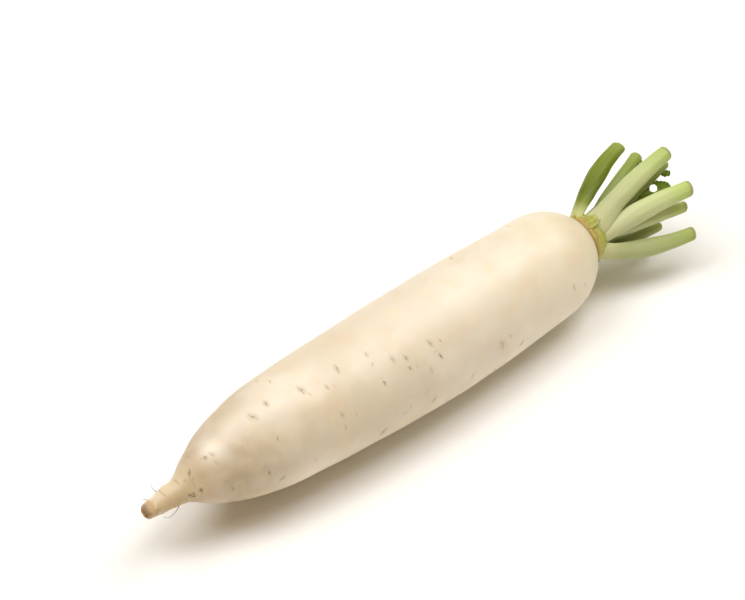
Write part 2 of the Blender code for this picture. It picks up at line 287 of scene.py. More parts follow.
rootValues = {
    "length": 0.305,
    "radius": 0.0345,
    "rings": 430,
    "sides": 208,
    "crowding": 0.055,  # more of the rings stand near both ends
    "radiusAlong": (
        (0.000, 0.108), (0.040, 0.163), (0.080, 0.238), (0.115, 0.450), (0.150, 0.603),
        (0.190, 0.720), (0.250, 0.831), (0.340, 0.895), (0.450, 0.954), (0.600, 1.000),
        (0.720, 0.987), (0.840, 0.932), (1.000, 0.862),
    ),
    "shoulderFrom": 0.888,
    "bendAlong": ((0, 0.0008), (0.15, 0.0015), (0.60, -0.0010), (0.85, -0.0008), (1, 0.0005)),
    "bendTilt": 34,  # degrees up from the level
    "outOfRound": 0.010,
    "lumpHeight": 0.0004,
    "lumpSize": 0.045,
    "restDepth": 0.0007,  # the flat underside that it lies on
    "swellHeight": 0.00032,  # low swellings of the skin
    "swellSize": 0.021,
    "rippleHeight": 0.00003,  # faint rings round it
    "rippleSize": 0.0045,
    # creases round the tail: mm from the tip, degrees round, half their reach in degrees,
    # depth in mm, half their width in mm
    "creases": (
        (21.1, -10, 30, 0.32, 0.60), (12.3, -8, 40, 0.34, 0.62), (16.8, 60, 60, 0.22, 0.60),
        (27.5, 25, 55, 0.22, 0.90), (6.8, 30, 90, 0.20, 0.60), (3.6, -70, 70, 0.18, 0.50),
        (33.0, -40, 50, 0.20, 0.90), (24.0, 150, 60, 0.35, 0.80), (10.0, 170, 75, 0.30, 0.70),
        (18.0, -120, 60, 0.35, 0.80), (30.5, -160, 60, 0.30, 0.90), (14.5, 115, 50, 0.25, 0.60),
    ),
    # knobs on the tail: mm from the tip, degrees round, height and radius in mm
    "knobs": (
        (15.4, -50, 0.45, 1.9), (27.0, -62, 1.1, 5.5), (13.0, -60, 0.7, 7.0),
        (2.2, -30, 0.30, 2.0), (4.0, 60, 0.25, 2.4), (24.0, 66, 0.30, 3.0),
        (9.0, 140, 0.40, 2.2), (18.0, 215, 0.45, 2.2), (26.0, 190, 0.35, 2.6),
    ),
    "tailRough": 0.00045,
    "tailRoughSize": 0.008,
    # shares of the length between which one part of the root passes into the next
    "tipToTail": (0.0, 0.025),
    "tailToBody": (0.09, 0.18),
    "bodyBegins": (0.10, 0.30),
    "bodyEnds": 0.90,
    "calmFrom": (0.0, 0.02),
    "calmTo": (0.965, 1.0),
    "tipRings": (0.06, 0.14, 0.24, 0.36, 0.66, 0.82, 1.1, 1.26, 1.6),  # mm from the tip
    "tipRoll": 0.0014,
    "tipInward": 0.17,  # share of the radius
    "cutRings": 22,
    "cutDish": (0.0007, 0.0010),  # how far the cut swells at its edge and sinks in its middle
    "cutGrain": ((0.00045, 0.0024, 8.0), (0.0002, 0.0010, 9.0)),  # height, size and seed
    "paleSide": -58,  # degrees round it, where the tail is drawn palest, on its upper side towards +Y
    "paleSpread": 2.6,
    "paleStart": (0.010, 0.019),  # shares of the length between which the pale side begins
    "paleEnd": (0.03, 0.13),
    # painted light in patches: painted highlight along the top, near 0 degrees, and painted bounce
    # light from the floor low on the -Y side, near 100 degrees: mm from the tip, degrees round,
    # half sizes in mm and degrees, how pale
    "paintedLightPatches": (
        (88, 102, 27, 30, 1.4), (7.5, -50, 2.4, 40, 1.6), (82, -1, 35, 27, 1.2),
        (168, -2, 70, 20, 0.55), (235, 96, 60, 26, 0.5),
        (42, 4, 8, 26, 1.5), (57, 82, 7, 18, 0.6),
    ),
}

crownValues = {
    "radius": 0.0146,
    "height": 0.0150,
    "roundness": 2.6,
    "gap": 0.0003,  # to the root's end
    "rings": 90,
    "sides": 200,
    "ridges": 4.5,  # old leaf scars one above another
    "ridgeHeight": 0.00035,
    "ridgeWander": 0.9,
    "ridgeWanderSize": 0.45,
    "foldHeight": 0.00035,
    "foldSize": 0.35,
}


def turnFrom(turn, at):
    # how far turn, in radians, is round the root from at, in degrees: -pi to pi
    return (turn - math.radians(at) + math.pi) % (2 * math.pi) - math.pi


def fromTip(share):
    return share * rootValues["length"] / millimetre


def rootRadius(share):
    v = rootValues
    over = np.clip(share - v["shoulderFrom"], 0.0, None) / (1 - v["shoulderFrom"])
    return v["radius"] * smoothThrough(v["radiusAlong"], share) * np.sqrt(1 - over**2)


def rootMiddle(share):
    v = rootValues
    bend = smoothThrough(v["bendAlong"], share)
    tilt = math.radians(v["bendTilt"])
    level = v["radius"] - v["restDepth"] + bend * math.sin(tilt)
    return np.stack([share * v["length"], bend * math.cos(tilt), level], -1)


def crownShare():
    share = 1.0
    while rootRadius(share) < crownValues["radius"]:
        share -= 0.0005
    return share


crownEnd = crownShare()


def scarPlaces():
    # the placed scars, then more at random where they don't crowd those
    v = scarValues
    rng = random.Random(v["seed"])
    scars = list(v["placed"])
    for i in range(v["inRows"] + v["loose"]):
        along = rng.uniform(*v["alongRoot"])
        row = v["rows"][i % 2] + rng.gauss(0, v["rowSpread"])
        turn = row if i < v["inRows"] else rng.uniform(*v["looseRound"])
        size = rng.uniform(*v["small" if i % 3 else "large"])
        scars.append((along, turn, size, rng.uniform(*v["dark"]), rng.gauss(0, v["tiltSpread"])))
    return scars


def scarMarks(share, turn):
    # for each layer, a point's place in its nearest scar's own measure, and how strong it is,
    # so that the skin's material draws every slit sharply whatever the mesh's spacing
    v = scarValues
    along, around = fromTip(share), rootRadius(share) / millimetre
    height = np.zeros(share.shape)
    layers = [np.zeros((*share.shape, 3)) for _ in range(v["layers"])]
    taken = [[] for _ in range(v["layers"])]
    for place, at, size, dark, tilt, *flat in scarPlaces():
        radius = float(rootRadius(place * millimetre / rootValues["length"])) / millimetre
        here = np.array([place, math.radians(at) * radius])
        reach = v["reach"] * size
        room = [
            i for i, others in enumerate(taken)
            if all(np.hypot(*(here - there)) > reach + far + v["spare"] for there, far in others)
        ]
        if not room:
            continue
        taken[room[0]].append((here, reach))
        across, onward = turnFrom(turn, at) * around, along - place
        lean = math.radians(tilt)
        u = (across * math.cos(lean) + onward * math.sin(lean)) / size
        w = (onward * math.cos(lean) - across * math.sin(lean)) / size * (flat or [1.0])[0]
        far = np.hypot(u, w)
        near = far < v["reach"]
        strength = dark * (1 - smoothStep(0.72, 1.0, far / v["reach"]))
        layers[room[0]][near] = np.stack([u, w, strength], -1)[near]
        # a long hollow with a raised lip either side
        dimple = -np.exp(-(u**2) / 1.3 - w**2 / 0.6)
        lips = 0.55 * np.exp(-(u**2) / 1.2 - ((np.abs(w) - 1.1) / 0.5) ** 2)
        height += v["depth"] * size * millimetre * (dimple + lips) * np.where(near, 1.0, 0.0)
    return height, layers


def creaseMarks(share, turn):
    # how deep each point lies in a crease round the tail, as a height and as 0 to 1
    height, mark = np.zeros(share.shape), np.zeros(share.shape)
    for place, at, reach, depth, width in rootValues["creases"]:
        across = np.degrees(turnFrom(turn, at))
        ends = 1 - smoothStep(0.45, 1.0, np.abs(across) / reach)
        far = fromTip(share) - place - 0.5 * np.sin(turn * 3 + place) * width
        line = np.exp(-((far / width) ** 2)) * ends
        roll = np.exp(-((far / (2.4 * width)) ** 2)) * ends
        height += depth * millimetre * (0.45 * roll - line)
        mark = np.maximum(mark, line * min(1.0, depth / 0.5))
    return height, mark


def knobHeights(share, turn):
    # the swellings that side roots left on the tail
    height = np.zeros(share.shape)
    for place, at, high, radius in rootValues["knobs"]:
        across = turnFrom(turn, at) * rootRadius(share) / millimetre
        far = np.hypot(fromTip(share) - place, across)
        height += high * millimetre * np.exp(-((far / radius) ** 2))
    return height


def paleSideAndPaintedLight(share, turn):
    # above 0 where the skin is drawn paler: along the tail's far upper side, and in patches of
    # painted highlight on top and painted bounce light low on the -Y side
    v = rootValues
    side = 0.5 + 0.5 * np.cos(turn - math.radians(v["paleSide"]))
    pale = side ** v["paleSpread"] * (1 - smoothStep(*v["paleEnd"], share))
    pale = pale * smoothStep(*v["paleStart"], share)
    for place, at, halfLong, halfWide, most in v["paintedLightPatches"]:
        across = np.degrees(turnFrom(turn, at))
        far = ((fromTip(share) - place) / halfLong) ** 2 + (across / halfWide) ** 2
        pale = np.maximum(pale, most * np.exp(-far))
    return pale


def noiseOver(points, size, seed=0.0):
    # Perlin noise at each point, size being its wavelength in metres
    shift = Vector((seed, 2.3 * seed, 4.1 * seed))
    flat = points.reshape(-1, 3)
    made = np.array([noise.noise(Vector(p) / size + shift) for p in flat])
    return made.reshape(points.shape[:-1])


def onRoot(share, turn):
    # points on the root's plain shape, before its fine relief, and the outward directions
    v = rootValues
    out = np.stack([np.zeros(share.shape), -np.sin(turn), np.cos(turn)], -1)
    radius = rootRadius(share)[..., None]
    straight = out * radius
    straight[..., 0] = share * v["length"]
    angle = np.arctan2(np.cos(turn), -np.sin(turn))
    body = smoothStep(*v["bodyBegins"], share) * (1 - smoothStep(v["bodyEnds"], crownEnd, share))
    lump = v["lumpHeight"] / v["radius"] * noiseOver(straight, v["lumpSize"])
    swell = 1 + body * (lump + v["outOfRound"] * np.sin(2 * angle + 5 * share))
    return rootMiddle(share) + out * radius * swell[..., None], out


def rootShift():
    # from the root's own measure to the frame: its tip and its sides are where the CAD's are
    low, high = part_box("root")
    share, turn = np.meshgrid(np.linspace(0.4, 0.8, 80), np.radians([90, -90]), indexing="ij")
    sides = onRoot(share, turn)[0][..., 1]
    return np.array([low.x, (low.y + high.y - sides.min() - sides.max()) / 2, 0.0])


shift = rootShift()
crownFoot = Vector(rootMiddle(np.array(crownEnd)) + shift) + Vector((crownValues["gap"], 0, 0))


def buildRoot(skin, cutFlesh):
    v = rootValues
    t = np.linspace(0, 1, v["rings"] + 1)
    share = crownEnd * (t - v["crowding"] * np.sin(2 * math.pi * t))
    nearTip = np.array(v["tipRings"]) * millimetre / v["length"]
    share = np.sort(np.append(share, nearTip))
    turn = np.linspace(0, 2 * math.pi, v["sides"], endpoint=False)
    share, turn = np.meshgrid(share, turn, indexing="ij")
    points, out = onRoot(share, turn)
    # the skin rolls in round the cut tip
    inside = 1 - np.clip(share * v["length"] / v["tipRoll"], 0, 1)
    points -= out * (rootRadius(share) * v["tipInward"] * (1 - np.sqrt(1 - inside**2)))[..., None]
    scarHeight, layers = scarMarks(share, turn)
    creaseHeight, crease = creaseMarks(share, turn)
    calm = smoothStep(*v["calmFrom"], share) * (1 - smoothStep(*v["calmTo"], share / crownEnd))
    swelling = v["swellHeight"] * noiseOver(points, v["swellSize"], 3.0)
    stretched = points / np.array([1.0, 7.0, 7.0])  # long round the root, short along it
    ripple = v["rippleHeight"] * noiseOver(stretched, v["rippleSize"], 5.0)
    tail = 1 - smoothStep(*v["tailToBody"], share)
    rough = v["tailRough"] * tail * noiseOver(points, v["tailRoughSize"], 7.0)
    tip = 1 - smoothStep(*v["tipToTail"], share)
    rough += 0.8 * v["tailRough"] * tip * noiseOver(points, v["tailRoughSize"] / 3, 9.0)
    height = calm * (swelling + ripple + creaseHeight) + scarHeight + rough
    height += knobHeights(share, turn)
    points = points + out * height[..., None] + shift
    points[..., 2] = np.maximum(points[..., 2], 0.0)

    # the cut face at the tip has dried, swollen at its edge and sunk in its middle
    rimRings, sides = v["cutRings"], v["sides"]
    (edge, middle), (coarse, fine) = v["cutDish"], v["cutGrain"]
    centre = points[0].mean(0)
    cap, capRim = [], []
    for i in range(1, rimRings + 1):
        inward = i / rimRings
        ring = between(points[0], centre, inward)
        dish = middle * smoothStep(0.30, 0.85, inward) - edge * smoothStep(0.0, 0.40, inward)
        rough = coarse[0] * noiseOver(ring, *coarse[1:]) + fine[0] * noiseOver(ring, *fine[1:])
        rough = rough * smoothStep(0.0, 0.2, inward) * (1 - inward)
        ring = ring + np.stack([dish + rough, 0 * rough, 0 * rough], -1)
        cap.append(ring if i < rimRings else ring[:1])
        capRim.append(np.full(len(cap[-1]), 1 - inward))
    wall = points.reshape(-1, 3)
    faces = tubeFaces(len(points), sides)
    wallCount, wallFaces = len(wall), len(faces)
    tip = wallCount + (rimRings - 1) * sides
    starts = [0, *range(wallCount, tip, sides)]  # each ring's first point, from the rim inward
    around = [(k, (k + 1) % sides) for k in range(sides)]
    for outer, inner in zip(starts, starts[1:]):
        faces += [(outer + b, outer + a, inner + a, inner + b) for a, b in around]
    faces += [(starts[-1] + b, starts[-1] + a, tip) for a, b in around]
    capFaces = len(faces) - wallFaces
    last, crownSide = wallCount - sides, tip + 1  # the hidden end under the crown
    faces += [(last + a, last + b, crownSide) for a, b in around]

    everything = np.concatenate([wall, *cap, points[-1].mean(0)[None]])
    extra = len(everything) - wallCount

    def onWall(values, rest):
        flat = values.reshape(wallCount, -1).squeeze()
        return np.concatenate([flat, np.full((extra, *flat.shape[1:]), rest)])

    measures = {
        "share": onWall(share, 0.0),
        "crease": onWall(crease, 0.0),
        "pale": onWall(paleSideAndPaintedLight(share, turn), 0.0),
        "rim": np.concatenate([np.ones(wallCount), *capRim, [0.0]]),
    }
    for i, layer in enumerate(layers):
        measures[f"scar{i + 1}"] = onWall(layer, 0.0)
    finishOf = [0] * wallFaces + [1] * capFaces + [0] * sides
    root = meshPiece("rootSkin", everything, faces, (skin, cutFlesh), finishOf, measures)
    growsOn(root, "root")


skinValues = {
    # the skin's colour at places from tip 0 to shoulder 1
    "along": (
        (0.00, "C5B087"), (0.07, "C7B28B"), (0.13, "B7A283"), (0.24, "C7B79C"), (0.33, "D6C9B1"),
        (0.42, "D9CDB6"), (0.65, "DFD5C1"), (0.86, "E4DBC4"), (1.00, "DDD2B0"),
    ),
    # ochre and then brown rot at the cut tip: full and gone at these shares, and how strong
    "tipRot": (("AC8238", 0.029, 0.035, 0.92), ("644C28", 0.018, 0.025, 0.85)),
    # laid over the pale parts, which in their patches are painted highlight and painted bounce
    # light
    "pale": ("F2EADB", 0.55),
    # blotches about 25, 18 and 8 mm across: noise scale and detail, where one begins and is
    # full in the noise, and how strong
    "blotches": (
        ("F2EADB", 40.0, 2.0, 0.46, 0.72, 0.32), ("D9BC98", 57.0, 2.0, 0.48, 0.72, 0.22),
        ("E4D6AC", 130.0, 3.0, 0.50, 0.72, 0.22),
    ),
    "crease": "8E7040",
    "scars": (("lips", "F2E7CF"), ("stain", "B69F6F"), ("slit", "6C5A36")),
    # how far a scar's slit and its rounder stain are narrowed across and along the root
    "narrow": {"thin": (1.15, 2.4, 0.0), "rounder": (0.8, 1.3, 0.0)},
    # a scar's parts: what they are measured by, where they are full and gone, how strong
    "parts": (
        ("stain", "rounder", 0.4, 2.0, 0.52), ("slit", "thin", 0.25, 1.10, 0.86),
        ("lips", "rounder", 1.2, 2.4, 0.16), ("near", "rounder", 0.7, 1.5, 1.0),
        ("strokes", "beside", 0.04, 0.26, 0.75),
    ),
}


def daikonSkin():
    # Washed daikon: thin smooth skin over wet flesh. Light goes a few mm into it, so its
    # shade is soft and warm, and it has a broad satin sheen and no hard gloss.
    finish, tree, place, share, pale, crease = newFinish(
        "washedDaikonSkin", "place", "share", "pale", "crease"
    )
    v = skinValues
    here = {"Vector": place}
    # broad noise of about 22 mm shifts where one colour passes into the next
    broad = addNode(tree, "TexNoise", None, {"Scale": 45.0, "Detail": 2.0}, here)
    ragged = addNode(
        tree, "Math", {**multiplyAdd, "use_clamp": True}, {1: 0.10}, {0: broad, 2: share}
    )
    shifted = addNode(tree, "Math", {"operation": "SUBTRACT"}, {1: 0.05}, {0: ragged})
    base = addNode(tree, "ValToRGB", links={0: shifted})
    colourStops(base, v["along"])

    layers = []  # colours to lay over that, each with its amount
    # rot spreads unevenly from the cut tip, by noise of about 3 mm
    tipNoise = addNode(tree, "TexNoise", None, {"Scale": 300.0, "Detail": 3.0}, here)
    tipPlace = addNode(tree, "Math", multiplyAdd, {1: 0.028}, {0: tipNoise, 2: share})
    for code, full, gone, most in v["tipRot"]:
        amount = {1: full, 2: gone, 3: most, 4: 0.0}
        layers.append((code, addNode(tree, "MapRange", smooth, amount, {0: tipPlace})))
    # the pale layer: the tail's paler upper side, and patches of painted highlight and painted
    # bounce light
    code, most = v["pale"]
    layers.append((code, addNode(tree, "Math", multiply, {1: most}, {0: pale})))
    for code, scale, detail, begins, full, most in v["blotches"]:
        blotch = addNode(tree, "TexNoise", None, {"Scale": scale, "Detail": detail}, here)
        amount = {1: begins, 2: full, 4: most}
        layers.append((code, addNode(tree, "MapRange", smooth, amount, {0: blotch})))

    # wander makes the slits ragged: noise of about 1.1 mm
    wander = addNode(tree, "TexNoise", None, {"Scale": 900.0, "Detail": 2.0}, here)
    wanderBy = addNode(
        tree, "VectorMath", multiplyAdd, {1: (1.5, 1.5, 0.0), 2: (-0.75, -0.75, 0.0)},
        {0: wander.outputs["Color"]},
    )
    # crumbs break a slit into dots about 0.7 mm across, with gaps between them
    crumbNoise = addNode(tree, "TexNoise", None, {"Scale": 1400.0, "Detail": 1.0}, here)
    crumbs = addNode(tree, "MapRange", smooth, {1: 0.42, 2: 0.58, 4: 1.0}, {0: crumbNoise})
    gaps = addNode(tree, "MapRange", None, {3: 0.55, 4: 1.0}, {0: crumbs})
    relief = None
    for i in range(scarValues["layers"]):
        mark = addNode(tree, "Attribute", {"attribute_name": f"scar{i + 1}"}).outputs["Vector"]
        strength = addNode(tree, "SeparateXYZ", links={0: mark}).outputs[2]
        torn = addNode(tree, "VectorMath", {"operation": "ADD"}, None, {0: mark, 1: wanderBy})
        measured = {}
        for label, narrow in v["narrow"].items():
            narrowed = addNode(tree, "VectorMath", multiply, {1: narrow}, {0: torn})
            measured[label] = addNode(
                tree, "VectorMath", {"operation": "LENGTH"}, None, {0: narrowed}
            )
        # fainter strokes stand beside the slit, every 1.4 halves of its length
        onward = addNode(tree, "SeparateXYZ", links={0: torn}).outputs[1]
        measured["beside"] = addNode(
            tree, "Math", {"operation": "PINGPONG"}, {1: 0.7}, {0: onward}
        )
        part = {}
        for label, by, full, gone, most in v["parts"]:
            amount = {1: full, 2: gone, 3: most, 4: 0.0}
            part[label] = addNode(tree, "MapRange", smooth, amount, {0: measured[by]})
        for label, factor in (("strokes", part["near"]), ("strokes", crumbs), ("slit", gaps)):
            part[label] = addNode(tree, "Math", multiply, None, {0: part[label], 1: factor})
        part["slit"] = addNode(
            tree, "Math", {"operation": "MAXIMUM"}, None, {0: part["slit"], 1: part["strokes"]}
        )
        for label, code in v["scars"]:
            amount = {0: part[label], 1: strength}
            layers.append((code, addNode(tree, "Math", clamped, None, amount)))
        deep = addNode(tree, "Math", multiply, None, {0: part["slit"], 1: strength})
        relief = deep if relief is None else addNode(
            tree, "Math", {"operation": "MAXIMUM"}, None, {0: deep, 1: relief}
        )
    creased = addNode(tree, "MapRange", smooth, {1: 0.20, 2: 0.9, 3: 0.0, 4: 0.60}, {0: crease})
    base = layColours(tree, base, [*layers, (v["crease"], creased)])

    # pores and fine wrinkles of the skin, about 0.7 mm apart, drawn twice as coarse
    pores = addNode(tree, "TexNoise", None, {"Scale": 700.0, "Detail": 3.0}, here)
    poreBump = addNode(
        tree, "Bump", None, {"Strength": 0.10, "Distance": 0.0003}, {"Height": pores}
    )
    slitBump = addNode(
        tree, "Bump", {"invert": True}, {"Strength": 0.8, "Distance": 0.0005},
        {"Height": relief, "Normal": poreBump},
    )
    rough = addNode(tree, "MapRange", None, {3: 0.36, 4: 0.52}, {0: pores})
    skin = addNode(
        tree, "BsdfPrincipled", {"subsurface_method": "RANDOM_WALK"},
        {
            "IOR": 1.40, "Subsurface Weight": 0.55, "Subsurface Scale": 0.004,
            "Subsurface Radius": (1.0, 0.62, 0.34), "Coat Weight": 0.22, "Coat Roughness": 0.42,
        },
        {"Base Color": base, "Roughness": rough, "Normal": slitBump},
    )
    addNode(tree, "OutputMaterial", links={"Surface": skin})
    return finish


def driedCut():
    # The tip was cut some days ago: corky tan flesh with a brown rolled rim.
    finish, tree, place, rim = newFinish("driedDaikonCut", "place", "rim")
    here = {"Vector": place}
    # corky grain about 0.7 mm across
    grain = addNode(tree, "TexNoise", None, {"Scale": 1400.0, "Detail": 3.0}, here)
    ragged = addNode(tree, "Math", multiplyAdd, {1: 0.35}, {0: grain, 2: rim})
    ramp = addNode(tree, "ValToRGB", links={0: ragged})
    colourStops(ramp, ((0.25, "B98A5C"), (0.60, "D0A47C"), (0.88, "8E6C42"), (1.0, "A88A58")))
    # grey-brown rot in patches about 2 mm across
    patches = addNode(tree, "TexNoise", None, {"Scale": 520.0, "Detail": 2.0}, here)
    dark = addNode(tree, "MapRange", smooth, {1: 0.50, 2: 0.66, 4: 0.85}, {0: patches})
    dark = addNode(tree, "Math", clamped, None, {0: dark, 1: ragged})
    colour = layColours(tree, ramp, [("54462E", dark)])
    flesh = {
        "Roughness": 0.75, "IOR": 1.4, "Subsurface Weight": 0.15, "Subsurface Scale": 0.002,
    }
    closeFinish(tree, colour, grain, 0.5, 0.0003, flesh)
    return finish


buildRoot(daikonSkin(), driedCut())
print("root built")


# --- crown: the short stem between root and leaves, ringed by the scars of old leaves ---


def crownPoints(along, turn):
    # along is 0 at the crown's foot and 1 at its top, and phase tells where in a ridge it is
    v = crownValues
    radius = v["radius"] * np.clip(1 - along ** v["roundness"], 0, None) ** (1 / v["roundness"])
    out = np.stack([np.zeros(along.shape), -np.sin(turn), np.cos(turn)], -1)
    circle = np.stack([along * 0.6, 0.8 * np.cos(turn), 0.8 * np.sin(turn)], -1)
    wander = noiseOver(circle, v["ridgeWanderSize"], 2.0)
    phase = (along * v["ridges"] + v["ridgeWander"] * wander) % 1.0
    ridge = smoothStep(0.0, 0.75, phase) * (1 - smoothStep(0.80, 1.0, phase))
    circle = np.stack([along * 0.5, 3 * np.cos(turn), 3 * np.sin(turn)], -1)
    folds = noiseOver(circle, v["foldSize"], 6.0)
    fade = 1 - smoothStep(0.80, 1.0, along)
    relief = fade * (v["ridgeHeight"] * (ridge - 0.6) + v["foldHeight"] * folds)
    points = out * (radius + relief)[..., None]
    points[..., 0] = along * v["height"]
    return points + np.array(crownFoot), phase


def buildCrown(stem):
    v = crownValues
    along = np.sin(0.5 * math.pi * np.linspace(0, 0.999, v["rings"]))
    turn = np.linspace(0, 2 * math.pi, v["sides"], endpoint=False)
    along, turn = np.meshgrid(along, turn, indexing="ij")
    points, phase = crownPoints(along, turn)
    faces = tubeFaces(v["rings"], v["sides"]) + endFaces(v["rings"], v["sides"])
    top, foot = points[-1].mean(0), points[0].mean(0)
    everything = np.concatenate([points.reshape(-1, 3), [top, foot]])
    measures = {
        "phase": np.append(phase.ravel(), [0.5, 0.5]),
        "upward": np.append(along.ravel(), [1.0, 0.0]),
    }
    crown = meshPiece("crownStem", everything, faces, (stem,), None, measures)
    growsOn(crown, "crown")


def crownStem():
    # Living stem tissue, yellow-green and moist, with corky brown lines where leaves fell off.
    finish, tree, place, upward, phase = newFinish("daikonCrownStem", "place", "upward", "phase")
    here = {"Vector": place}
    # mottles about 3 mm across, which also break up the brown lines
    streaks = addNode(tree, "TexNoise", None, {"Scale": 300.0, "Detail": 3.0}, here)
    tone = addNode(tree, "Math", multiplyAdd, {1: 0.6}, {0: streaks, 2: upward})
    ramp = addNode(tree, "ValToRGB", links={0: tone})
    colourStops(ramp, ((0.22, "B39A58"), (0.42, "B6A85C"), (0.62, "B1B259"), (1.0, "98A146")))
    # a brown line where one ridge ends, and painted shade, a brown band at the foot where the crown
    # meets the root
    line = addNode(tree, "MapRange", smooth, {1: 0.60, 2: 0.95, 3: 0.0, 4: 1.0}, {0: phase})
    patchy = addNode(tree, "Math", clamped, None, {0: line, 1: streaks})
    footShade = addNode(tree, "MapRange", smooth, {1: 0.02, 2: 0.14, 3: 0.85, 4: 0.0}, {0: upward})
    colour = layColours(tree, ramp, [("86782F", patchy), ("9A7A40", footShade)])
    stem = {
        "Roughness": 0.5, "IOR": 1.4, "Subsurface Weight": 0.3, "Subsurface Scale": 0.002,
        "Subsurface Radius": (0.9, 1.0, 0.35),
    }
    closeFinish(tree, colour, streaks, 0.45, 0.0004, stem)
    return finish


scaleValues = {
    # thin brown scales left of the oldest leaves, round the crown's foot
    "count": 9,
    "length": (0.0010, 0.0030),
    "width": (0.0035, 0.0090),
    "flare": (0.02, 0.22),  # mm outward for each mm up
    "thickness": 0.00018,
    "uneven": 0.4,  # how far one strays from its place, in shares of the room it has
    "foot": (0.0, 0.0014),
    "outward": (-0.0002, 0.0001),
    "skew": (-0.5, 0.5),
    "ragged": 0.5,
    "rounding": (0.92, 2.6),  # how much lower the upper edge's corners are, and how sharply
    "curl": 0.12,  # outward at the upper edge, for each mm of length
    "waveHeight": 0.00015,
    "rows": 14,
    "columns": 24,
    "seed": 5,
    # green sheaths that hug the feet of stalks: degrees round, width, foot, length, how far out
    # from the crown, flare, and thickness
    "sheaths": (
        (5, 0.0080, 0.0022, 0.0074, 0.0001, 0.13, 0.0002),
        (150, 0.0120, 0.0020, 0.0060, 0.0000, 0.07, 0.0002),
        (262, 0.0150, 0.0015, 0.0062, 0.0000, 0.08, 0.0002),
    ),
    "sheathSkew": 0.1,
    "sheathRagged": 0.35,
}


def wrappedSheet(turn, width, foot, length, outward, flare, thickness, skew, ragged, sheet):
    # a thin closed sheet wrapped round the crown, rounded and ragged at its upper edge
    v = scaleValues
    points, faces, height = sheet
    radius = crownValues["radius"] + outward
    lower, sharp = v["rounding"]
    first = len(points)
    rows, columns = v["rows"], v["columns"]
    for side in (0, 1):
        for row in range(rows):
            up = row / (rows - 1)
            for column in range(columns):
                across = 2 * column / (columns - 1) - 1
                reach = math.sqrt(max(0.0, 1 - lower * abs(across) ** sharp))
                tear = ragged * up * noise.noise(Vector((4 * across, turn, 0.5)))
                angle = turn + (across + skew * up) * width / 2 / radius
                along = foot + length * up * (reach + tear)
                curl = v["curl"] * length * up**3
                far = radius + flare * length * up * reach + curl - side * thickness
                far += v["waveHeight"] * noise.noise(Vector((6 * across, 3 * up, turn)))
                points.append(
                    crownFoot + Vector((along, -math.sin(angle) * far, math.cos(angle) * far))
                )
                height.append(up)
    each = rows * columns
    grid = np.arange(each).reshape(rows, columns) + first
    quads = sheetFaces(grid).reshape(-1, 4)
    faces += quads[:, ::-1].tolist() + (quads + each).tolist()
    edge = [*grid[0], *grid[1:, -1], *grid[-1, -2::-1], *grid[-2:0:-1, 0]]
    for a, b in zip(edge, edge[1:] + edge[:1]):
        faces.append([int(a), int(b), int(b + each), int(a + each)])


def buildScales(paper):
    v = scaleValues
    rng = random.Random(v["seed"])
    sheet = ([], [], [])
    for i in range(v["count"]):
        turn = 2 * math.pi * (i + rng.uniform(-v["uneven"], v["uneven"])) / v["count"]
        width, length = rng.uniform(*v["width"]), rng.uniform(*v["length"])
        foot, outward = rng.uniform(*v["foot"]), rng.uniform(*v["outward"])
        flare, skew = rng.uniform(*v["flare"]), rng.uniform(*v["skew"])
        shape = (turn, width, foot, length, outward, flare, v["thickness"], skew, v["ragged"])
        wrappedSheet(*shape, sheet)
    growsOn(meshPiece("leafScales", sheet[0], sheet[1], (paper,)), None)


def buildSheaths(green):
    v = scaleValues
    sheet = ([], [], [])
    for turn, *size in v["sheaths"]:
        wrappedSheet(math.radians(turn), *size, v["sheathSkew"], v["sheathRagged"], sheet)
    points, faces, height = sheet
    sheaths = meshPiece("leafSheaths", points, faces, (green,), None, {"upward": height})
    growsOn(sheaths, None)


def sheathSkin():
    # What is left of a leaf's broad foot: soft yellow-green skin, drying at its edges.
    finish, tree, place, upward = newFinish("leafSheathSkin", "place", "upward")
    # streaks about 2 mm apart that run along the stalk
    stretched = addNode(tree, "VectorMath", multiply, {1: (0.15, 1.0, 1.0)}, {0: place})
    streaks = addNode(
        tree, "TexNoise", None, {"Scale": 500.0, "Detail": 3.0}, {"Vector": stretched}
    )
    ramp = addNode(tree, "ValToRGB", links={0: streaks})
    colourStops(ramp, ((0.30, "86842F"), (0.52, "9D9F3F"), (0.74, "B1B556")))
    # it fades into the stalk that it hugs
    fade = addNode(tree, "MapRange", smooth, {1: 0.70, 2: 1.0, 3: 0.0, 4: 0.60}, {0: upward})
    colour = layColours(tree, ramp, [("C2C78E", fade)])
    skin = {
        "Roughness": 0.45, "IOR": 1.4, "Subsurface Weight": 0.2, "Subsurface Scale": 0.0012,
        "Subsurface Radius": (0.8, 1.0, 0.3),
    }
    closeFinish(tree, colour, streaks, 0.35, 0.0003, skin)
    return finish


def dryScale():
    # Dead leaf bases: thin dry skins like onion paper, matt, mottled tan and brown.
    finish, tree, place = newFinish("dryLeafScale", "place")
    # papery mottles about 1 mm across
    fibres = addNode(
        tree, "TexNoise", None, {"Scale": 900.0, "Detail": 4.0}, {"Vector": place}
    )
    ramp = addNode(tree, "ValToRGB", links={0: fibres})
    colourStops(ramp, ((0.34, "8E783E"), (0.64, "BBA95F")))
    scale = {
        "Roughness": 0.7, "IOR": 1.45, "Subsurface Weight": 0.1, "Subsurface Scale": 0.001,
    }
    closeFinish(tree, ramp, fibres, 0.5, 0.0002, scale)
    return finish


buildCrown(crownStem())
buildScales(dryScale())
buildSheaths(sheathSkin())
print("crown and its scales built")
